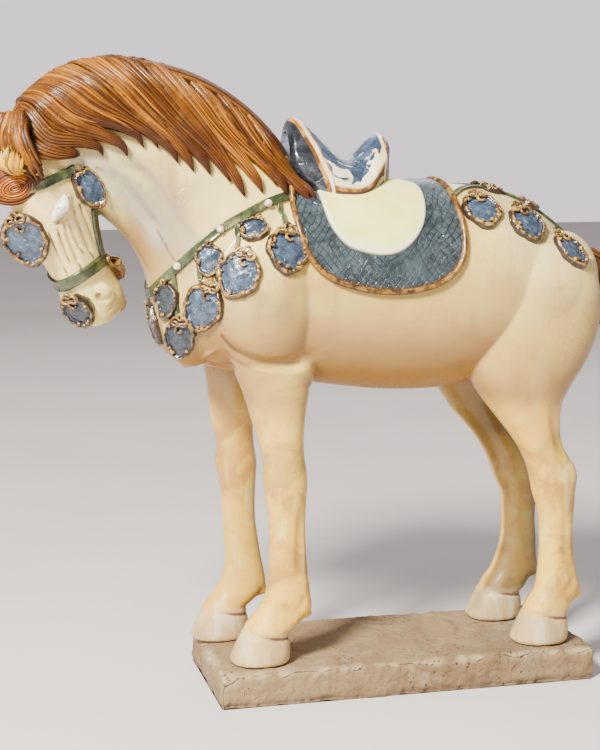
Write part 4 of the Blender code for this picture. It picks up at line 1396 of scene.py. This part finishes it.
def saddle_paint():
    """Dripped blue and white between gold lines, with a dark arch in front and a dark back."""
    p = Paint("saddle_glaze", 0.18, 0.7, 0.04)
    along, across, _ = p.tag()
    side = p.math("ABSOLUTE", across)
    wave = p.sway(0.03, 50.0, 2.0)
    slant = p.times(p.times(side, side), p.step(along, 0.5, 0.4, 0.0, 0.24))
    spot = p.math("SUBTRACT", p.math("ADD", along, wave), slant)
    drip = p.sway(0.80, 46.0, 2.0, 0.5, 0.8)
    level = p.math("ADD", side, drip)
    blue = p.blots(rgb(38, 52, 72), rgb(66, 84, 110), 1.0, 0.40, 0.62, 90.0, 4.0, 0.6, 1.0)
    white = p.blots(rgb(232, 222, 186), rgb(212, 188, 134), 1.0, 0.40, 0.62, 40.0, 3.0)
    colour = p.mix(p.step(level, 0.80, 0.83), blue, white)
    blot = p.times(p.step(p.noise(38.0, 2.0, 0.5, 2.2), 0.57, 0.60), p.step(side, 0.85, 0.75))
    colour = p.mix(blot, colour, white)
    gold = p.blots(rgb(104, 60, 14), rgb(184, 132, 48), 1.0, 0.40, 0.62, 90.0, 4.0)
    dark = p.blots(rgb(20, 22, 28), rgb(48, 52, 60), 1.0, 0.42, 0.64, 60.0, 4.0, 0.6, 1.0)
    colour = p.mix(p.step(side, 0.955, 0.975), colour, gold)
    # Painted shadow under the lower edge of the flap.
    colour = p.mix(p.step(side, 0.986, 0.997), colour, rgb(70, 50, 30))
    for start, stop, tone in ((0.250, 0.236, gold), (0.228, 0.212, white), (0.172, 0.156, gold),
                              (0.122, 0.108, dark), (0.860, 0.875, white), (0.890, 0.905, gold),
                              (0.935, 0.950, dark)):
        colour = p.mix(p.step(spot, start, stop), colour, tone)
    colour = p.mix(p.step(along, 0.045, 0.030, 0.0, 0.85), colour, rgb(128, 136, 150))
    colour, low = glaze_skin(p, colour, p.noise(90.0), 0.3)
    p.bump(low, 0.0010, 0.35)
    return p.done(colour, p.gloss(0.10, 0.32, 50.0, 4.0))


def clay_paint():
    p = Paint("bare_clay", 0.85)
    bright = p.tag()[0]
    broad = p.noise(9.0, 5.0, 0.6, 0.5)
    colour = p.mix(p.step(broad, 0.36, 0.64), rgb(144, 120, 84), rgb(124, 96, 64))
    colour = p.blots(colour, rgb(160, 140, 104), 0.6, 0.48, 0.70, 42.0, 5.0, 0.65, 0.6)
    colour = p.blots(colour, rgb(98, 70, 42), 0.6, 0.56, 0.74, 24.0, 5.0, 0.65, 1.0)
    colour = p.blots(colour, rgb(128, 124, 104), 0.5, 0.58, 0.72, 14.0, 4.0, 0.6, 0.6)
    colour = p.blots(colour, rgb(84, 64, 46), 0.6, 0.58, 0.72, 150.0, 5.0, 0.7)
    colour = p.mix(p.step(bright, 0.05, 0.9, 0.0, 0.70), colour, rgb(182, 162, 126))
    z = p.spot()[2]
    colour = p.mix(p.step(z, 0.012, 0.0, 0.0, 0.45), colour, rgb(92, 72, 54))
    grain = p.noise(420.0, 6.0, 0.7)
    low = p.math("MULTIPLY_ADD", p.noise(60.0, 5.0, 0.65), 1.6, p.times(grain, 0.5))
    pits = p.times(p.step(p.cells(170.0, "F1"), 0.10, 0.24, 1.0, 0.0), p.step(p.noise(28.0), 0.50, 0.58))
    colour = p.mix(p.times(pits, 0.6), colour, rgb(70, 52, 38))
    low = p.math("SUBTRACT", low, p.times(pits, 1.2))
    p.bump(low, 0.0022, 0.9)
    return p.done(colour, p.step(grain, 0.3, 0.7, 0.74, 0.96))


def hollows(points, normals, tree, rays, reach):
    """How closed in each point is, from 0 in the open to 1."""
    turn = math.pi * (3 - math.sqrt(5))
    fan = []
    for k in range(rays):
        up = 1 - (k + 0.5) / rays * 0.92
        r = math.sqrt(1 - up * up)
        fan.append((r * math.cos(turn * k), r * math.sin(turn * k), up))
    shut = np.zeros(len(points))
    for i, (p, n) in enumerate(zip(points, normals)):
        normal = Vector(n)
        aside = normal.orthogonal().normalized()
        other = normal.cross(aside)
        start = Vector(p) + normal * 0.4
        hits = 0.0
        for a, b, c in fan:
            _, _, _, far = tree.ray_cast(start, aside * a + other * b + normal * c, reach)
            if far is not None:
                hits += 1 - 0.6 * far / reach
        shut[i] = hits / rays
    return shut


def stepped(steps, height):
    """How far a far leg is shifted at a height."""
    return float(np.interp(height, [h for h, _ in steps], [s for _, s in steps]))


def aimed(item, place, way):
    """Put an object at a place, looking along a direction."""
    item.location = place
    item.rotation_mode = "QUATERNION"
    item.rotation_quaternion = way.to_track_quat("-Z", "Y")


def camera():
    away = Vector(CAMERA_AWAY).normalized()
    data = bpy.data.cameras.new("camera")
    data.lens = CAMERA_LENS
    data.sensor_width = 36.0
    data.clip_start = 0.05
    item = placed("camera", data)
    aimed(item, Vector(CAMERA_TARGET) + away * CAMERA_DISTANCE, -away)
    bpy.context.scene.camera = item


def studio():
    """A plain pale floor and soft light."""
    mesh = bpy.data.meshes.new("floor")
    corners = [(x * FLOOR_HALF, y * FLOOR_HALF, 0) for x, y in ((-1, -1), (1, -1), (1, 1), (-1, 1))]
    mesh.from_pydata(corners, [], [(0, 1, 2, 3)])
    floor = placed("floor", mesh)
    p = Paint("floor", 0.7)
    colour = p.mix(p.step(p.noise(3.0, 4.0), 0.3, 0.7), (0.66, 0.61, 0.595), (0.70, 0.65, 0.635))
    mesh.materials.append(p.done(colour))
    world = bpy.data.worlds.new("world")
    world.use_nodes = True
    tree = world.node_tree
    soft = tree.nodes["Background"]
    soft.inputs["Color"].default_value = (0.95, 0.90, 0.92, 1.0)
    soft.inputs["Strength"].default_value = 0.50
    seen = tree.nodes.new("ShaderNodeBackground")
    seen.inputs["Color"].default_value = (1.0, 0.90, 0.96, 1.0)
    seen.inputs["Strength"].default_value = 1.25
    both = tree.nodes.new("ShaderNodeMixShader")
    tree.links.new(tree.nodes.new("ShaderNodeLightPath").outputs["Is Camera Ray"], both.inputs[0])
    tree.links.new(soft.outputs[0], both.inputs[1])
    tree.links.new(seen.outputs[0], both.inputs[2])
    tree.links.new(both.outputs[0], tree.nodes["World Output"].inputs["Surface"])
    bpy.context.scene.world = world
    for name, place, aim, size, power, tint in LIGHTS:
        data = bpy.data.lights.new(name, "AREA")
        data.size = size
        data.energy = power
        data.color = tint
        aimed(placed(name, data), place, Vector(aim) - Vector(place))


def carve_body(points, normals):
    """Press and raise the lines of the body; the rings around the hooves' upper edges are handed back."""
    for path, radius, depth in BODY_LINES:
        for side in (-1, 1):
            carve(points, normals, sided(path, side), radius, depth)
    for path, radius, depth in HEAD_LINES:
        for side in (-1, 1):
            carve(points, normals, on_head(path, side), radius, depth)
    t, a, s = NOSTRIL
    for side in (-1, 1):
        curl = []
        for k in range(15):
            angle = math.radians(20 + 24 * k)
            r = NOSTRIL_RADIUS * (1 - 0.035 * k)
            curl.append(head_point(t + r * math.sin(angle), a + r * math.cos(angle), s * side))
        carve(points, normals, curl, 4.2, -1.7, 60)
    for lines, steps in ((FORELEG_LINES, FAR_FORELEG_STEPS), (HIND_LEG_LINES, FAR_HIND_LEG_STEPS)):
        for path, radius, depth in lines:
            for side in (-1, 1):
                rows = []
                for x, out, z in path:
                    shift = stepped(steps, z) if side > 0 else 0.0
                    rows.append((x + shift, side * (STANCE + out), z))
                carve(points, normals, rows, radius, depth)
    coronets = []
    for side in (-1, 1):
        for back, steps in ((FORE_HOOF_BACK, FAR_FORELEG_STEPS), (HIND_HOOF_BACK, FAR_HIND_LEG_STEPS)):
            middle = back - 19 + (steps[0][1] if side > 0 else 0)
            ring = []
            for k in range(25):
                t = 2 * math.pi * k / 24
                y = side * STANCE + 20 * math.sin(t)
                ring.append((middle - 22 * math.cos(t), y, 25.5 + 4.5 * math.cos(t)))
            coronets.append(ring)
            carve(points, normals, ring, 3.6, 1.1, 60, 0)
    return coronets


def body_tags(points, shut, coronets):
    """How closed in, shaded and dark each point of the body is."""
    tags = np.zeros((len(points), 3), dtype=np.float32)
    tags[:, 0] = shut
    for side in (-1, 1):
        for path, radius, strength in DARK_LINES:
            mark(tags, points, on_head(path, side), radius, strength)
        # Dark painted along two of the body's pressed lines, as shade and pooled glaze in them.
        for path, radius, _ in BODY_LINES[2:4]:
            mark(tags, points, sided(path[:-1], side), radius * 0.42, 0.50)
        for path, radius, strength, part in NECK_SHADES:
            mark(tags, points, sided(path, side), radius, strength, part)
    # Dark painted in the grooves at the hooves' upper edges, as shade and pooled glaze.
    for ring in coronets:
        mark(tags, points, ring, 1.7, 0.85)
    return tags


def body_piece(paint):
    """The fused glazed body with its carved lines; the smooth skin before the carving is handed back."""
    clay = Clay()
    build_trunk(clay)
    build_neck(clay)
    build_leg(clay, FORELEG, FORE_HOOF_BACK, -1)
    build_leg(clay, FORELEG, FORE_HOOF_BACK, 1, FAR_FORELEG_STEPS, FAR_FORELEG_SLIM)
    build_leg(clay, HIND_LEG, HIND_HOOF_BACK, -1)
    build_leg(clay, HIND_LEG, HIND_HOOF_BACK, 1, FAR_HIND_LEG_STEPS, FAR_HIND_LEG_SLIM)
    build_head(clay)
    mesh = remeshed("form", finish_mesh("form", clay.points, clay.faces, None), BODY_VOXEL, 7)
    points = drawn(mesh)
    skin = Skin(points, [tuple(f.vertices) for f in mesh.polygons])
    coronets = carve_body(points, values_of(mesh, "normal"))
    set_places(mesh, [place_out(q) for q in points])
    mesh.update()
    made = thinned("body", mesh, BODY_TRIANGLES)
    points = drawn(made)
    tree = BVHTree.FromPolygons([Vector(q) for q in points], [tuple(f.vertices) for f in made.polygons])
    shut = hollows(points, values_of(made, "normal"), tree, SHADE_RAYS, SHADE_REACH)
    set_tags(made, body_tags(points, shut, coronets))
    add_piece("body", made, paint, "horse")
    return skin


def plinth_piece(paint, rng):
    """The slab with uneven faces, worn edges and chips along the near upper edge."""
    work = bmesh.new()
    bmesh.ops.create_cube(work, size=1.0)
    for v in work.verts:
        v.co = Vector((v.co.x * PLINTH_LENGTH, v.co.y * PLINTH_WIDTH, (v.co.z + 0.5) * PLINTH_HEIGHT))
    mesh = bpy.data.meshes.new("slab")
    work.to_mesh(mesh)
    work.free()
    set_places(mesh, [v.co * MM for v in mesh.vertices])
    fine = remeshed("slab", mesh, SLAB_VOXEL, 2)
    points = values_of(fine, "co") / MM
    normals = values_of(fine, "normal")
    half = np.array((PLINTH_LENGTH / 2, PLINTH_WIDTH / 2, PLINTH_HEIGHT / 2))
    chips = [(Vector((x, -PLINTH_WIDTH / 2, PLINTH_HEIGHT)), size, drop) for x, size, drop in PLINTH_CHIPS]
    for _ in range(SLAB_CHIPS):
        x = rng.uniform(-half[0], half[0])
        y = rng.choice((-1, 1)) * half[1]
        if rng.random() < 0.35:
            x, y = rng.choice((-1, 1)) * half[0], rng.uniform(-half[1], half[1])
        chips.append((Vector((x, y, PLINTH_HEIGHT)), rng.uniform(3, 10), rng.uniform(0.8, 2.6)))
    tags = np.zeros((len(points), 3), dtype=np.float32)
    centre = np.array((0.0, 0.0, PLINTH_HEIGHT / 2))
    for i, q in enumerate(points):
        gaps = np.sort(half - np.abs(q - centre))
        edge = max(0.0, 1 - gaps[1] / 9.0)
        place = Vector(q)
        rough = 0.55 if normals[i][2] > 0.7 else 1.35
        wave = noise.noise(place * 0.022) * 1.3 + noise.noise(place * 0.07) * 1.0
        wave += noise.noise(place * 0.2) * 0.6 + noise.noise(place * 0.5) * 0.22
        lumps = 3.2 + 3.4 * noise.noise(place * 0.045) + 1.8 * noise.noise(place * 0.16)
        move = wave * rough - 0.9 - edge * edge * max(lumps, 0.4)
        for spot, size, drop in chips:
            d = (place - spot).length
            if d < size:
                share = 1 - (d / size) ** 2
                move -= drop * share * (1 + 0.5 * noise.noise(place * 0.5))
                tags[i, 0] = max(tags[i, 0], share)
        tags[i, 1] = edge
        if normals[i][2] < -0.6 or q[2] < 1.0:
            aim = np.array((normals[i][0], normals[i][1], 0.0))
            points[i] = q + aim * min(move, 0.4)
            points[i][2] = max(0.0, q[2] if q[2] > 1.0 else 0.0)
        else:
            points[i] = q + normals[i] * move
    points[:, 2] = np.clip(points[:, 2], 0.0, PLINTH_HEIGHT)
    set_places(fine, points * MM)
    set_smooth(fine)
    set_tags(fine, tags)
    fine.update()
    add_piece("plinth_slab", fine, paint, "plinth")


def build_eyes(clay, skin):
    """Leaf-shaped eyes between raised lids."""
    eye = ((27, 0, 29), (31, 5, 31), (35, 9, 30), (39, 14, 27), (44, 18, 24))
    for side in (-1, 1):
        found = [skin.nearest(q) for q in on_head(eye, side)]
        path = [place + normal * 0.2 for place, normal in found]
        flat = [normal for _, normal in found]
        add_sweep(clay, path, [0.6, 3.4, 4.8, 3.4, 0.6], [0.8, 4.4, 6.0, 4.4, 0.8], flat, 20, 20, strand=0.2)


def build_hair(clay, skin, rng):
    build_mane(clay, skin, rng)
    build_brow_hair(clay, rng)


def add_trappings(side, groups, skin, rng):
    """Pendants, straps, studs and the bridle's ring of one side."""
    plates, dusk, knots, ribbons, studs = groups
    for k, (x, y, z, width, length, lean) in enumerate(PENDANTS + CROUP_PENDANTS):
        group = dusk if k in DARK_PENDANTS else plates
        add_pendant(group, knots, skin, rng, (x, -y * side, z), width, length, lean * -side)
    for strap, width in ((BREAST_STRAP, STRAP_WIDTH), (CROUP_STRAP, CROUP_STRAP_WIDTH)):
        add_ribbon(ribbons, skin, sided(strap, side), width, STRAP_LIFT)
    for strap, width in zip(BRIDLE, (STRAP_WIDTH, STRAP_WIDTH, NOSEBAND_WIDTH)):
        add_ribbon(ribbons, skin, on_head(strap, -side), width, STRAP_LIFT)
    for spot in sided(STRAP_STUDS, side):
        place, normal = skin.nearest(spot)
        add_stud(studs, place + normal * 2.0, normal, STUD_RADIUS)
    for a, b in CONNECTORS:
        middle = [(one + two) / 2 for one, two in zip(a, b)]
        add_ribbon(ribbons, skin, sided((a, middle, b), side), CONNECTOR_WIDTH, CONNECTOR_LIFT, 16)
    ring, flat = [], []
    for k in range(13):
        t = 2 * math.pi * k / 12
        along = 107 + 4.5 * math.cos(t) + 4 * math.sin(t)
        ahead = -27 - 8 * math.cos(t) + 2.5 * math.sin(t)
        place, normal = skin.nearest(head_point(along, ahead, 16 * side))
        ring.append(place + normal * 3)
        flat.append(normal)
    add_sweep(knots, ring, [2.4] * 13, [2.4] * 13, flat, 10, 40)


def add_head_pendants(plates, dusk, knots, skin, rng):
    """The pendants at the poll and on the nose, and the plate on the forehead."""
    _, down, nose, far = head_frame()
    for t, a, s, width, length in HEAD_PENDANTS[:2]:
        add_pendant(plates, knots, skin, rng, head_point(t, a, s), width, length, 0.0, -down, 0.6)
    t, a, s, width, length = HEAD_PENDANTS[2]
    spot = head_point(t - 5, a + 1, s - 6)
    add_pendant(dusk, knots, skin, rng, spot, width + 9, length + 9, 0.0, -down, 0.6)
    t, a, s, width, length, turn = BROW_PLATE
    facing = nose * math.cos(turn) - far * math.sin(turn)
    add_pendant(plates, knots, skin, rng, head_point(t, a, s), width, length, 0.0, -down, 1.0, facing)


def main():
    camera()
    studio()
    rng = random.Random(SEED)
    amber = amber_paint("amber_glaze", rgb(86, 46, 8), rgb(122, 72, 14))
    # The forelock is a more orange amber, painted lighter to make up for the shade it lies in.
    forelock = amber_paint("forelock_glaze", rgb(190, 96, 8), rgb(214, 128, 24))
    tuft = amber_paint("tuft_glaze", rgb(196, 134, 4), rgb(216, 172, 10))
    gold = gold_paint("gold_glaze", rgb(88, 56, 16), rgb(182, 140, 60), rgb(32, 20, 10))
    brown = gold_paint("rim_glaze", rgb(84, 52, 12), rgb(150, 104, 30), rgb(34, 18, 6))
    bead = gold_paint("pale_beads", rgb(216, 206, 172), rgb(238, 232, 206), rgb(136, 116, 80))
    white = gold_paint("eye_glaze", rgb(226, 220, 206), rgb(246, 242, 232), rgb(168, 144, 116))
    blue_plates = pendant_paint("blue_pendants", rgb(44, 58, 76), rgb(70, 86, 106), rgb(150, 162, 174),
                                rgb(84, 52, 16), rgb(182, 140, 60))
    dark_plates = pendant_paint("dark_pendants", rgb(34, 40, 48), rgb(56, 64, 74), rgb(96, 104, 114),
                                rgb(66, 52, 34), rgb(128, 104, 66))
    skin = body_piece(cream_paint())
    built("mane", amber, build_hair, skin, rng)
    built("forelock", forelock, build_forelock, rng)
    built("brow_tuft", tuft, build_tuft, rng)
    built("tail", amber, build_tail)
    cloth, rim, pad = Clay(), Clay(), Clay()
    build_cloth(cloth, rim, pad, skin)
    piece("saddle_cloth", cloth, cloth_paint())
    piece("cloth_rim", rim, brown)
    piece("saddle_pad", pad, pad_paint())
    built("saddle", saddle_paint(), build_saddle)
    groups = plates, dusk, knots, ribbons, studs = [Clay() for _ in range(5)]
    for side in (-1, 1):
        add_trappings(side, groups, skin, rng)
    x, y, z, width, length, lean = CHEST_PENDANT
    add_pendant(dusk, knots, skin, rng, (x, y, z), width, length, lean)
    add_head_pendants(plates, dusk, knots, skin, rng)
    piece("pendants", plates, blue_plates)
    piece("dark_pendants", dusk, dark_plates)
    piece("pendant_knots", knots, gold)
    piece("straps", ribbons, strap_paint())
    piece("strap_studs", studs, bead)
    built("eyes", white, build_eyes, skin)
    plinth_piece(clay_paint(), rng)


main()
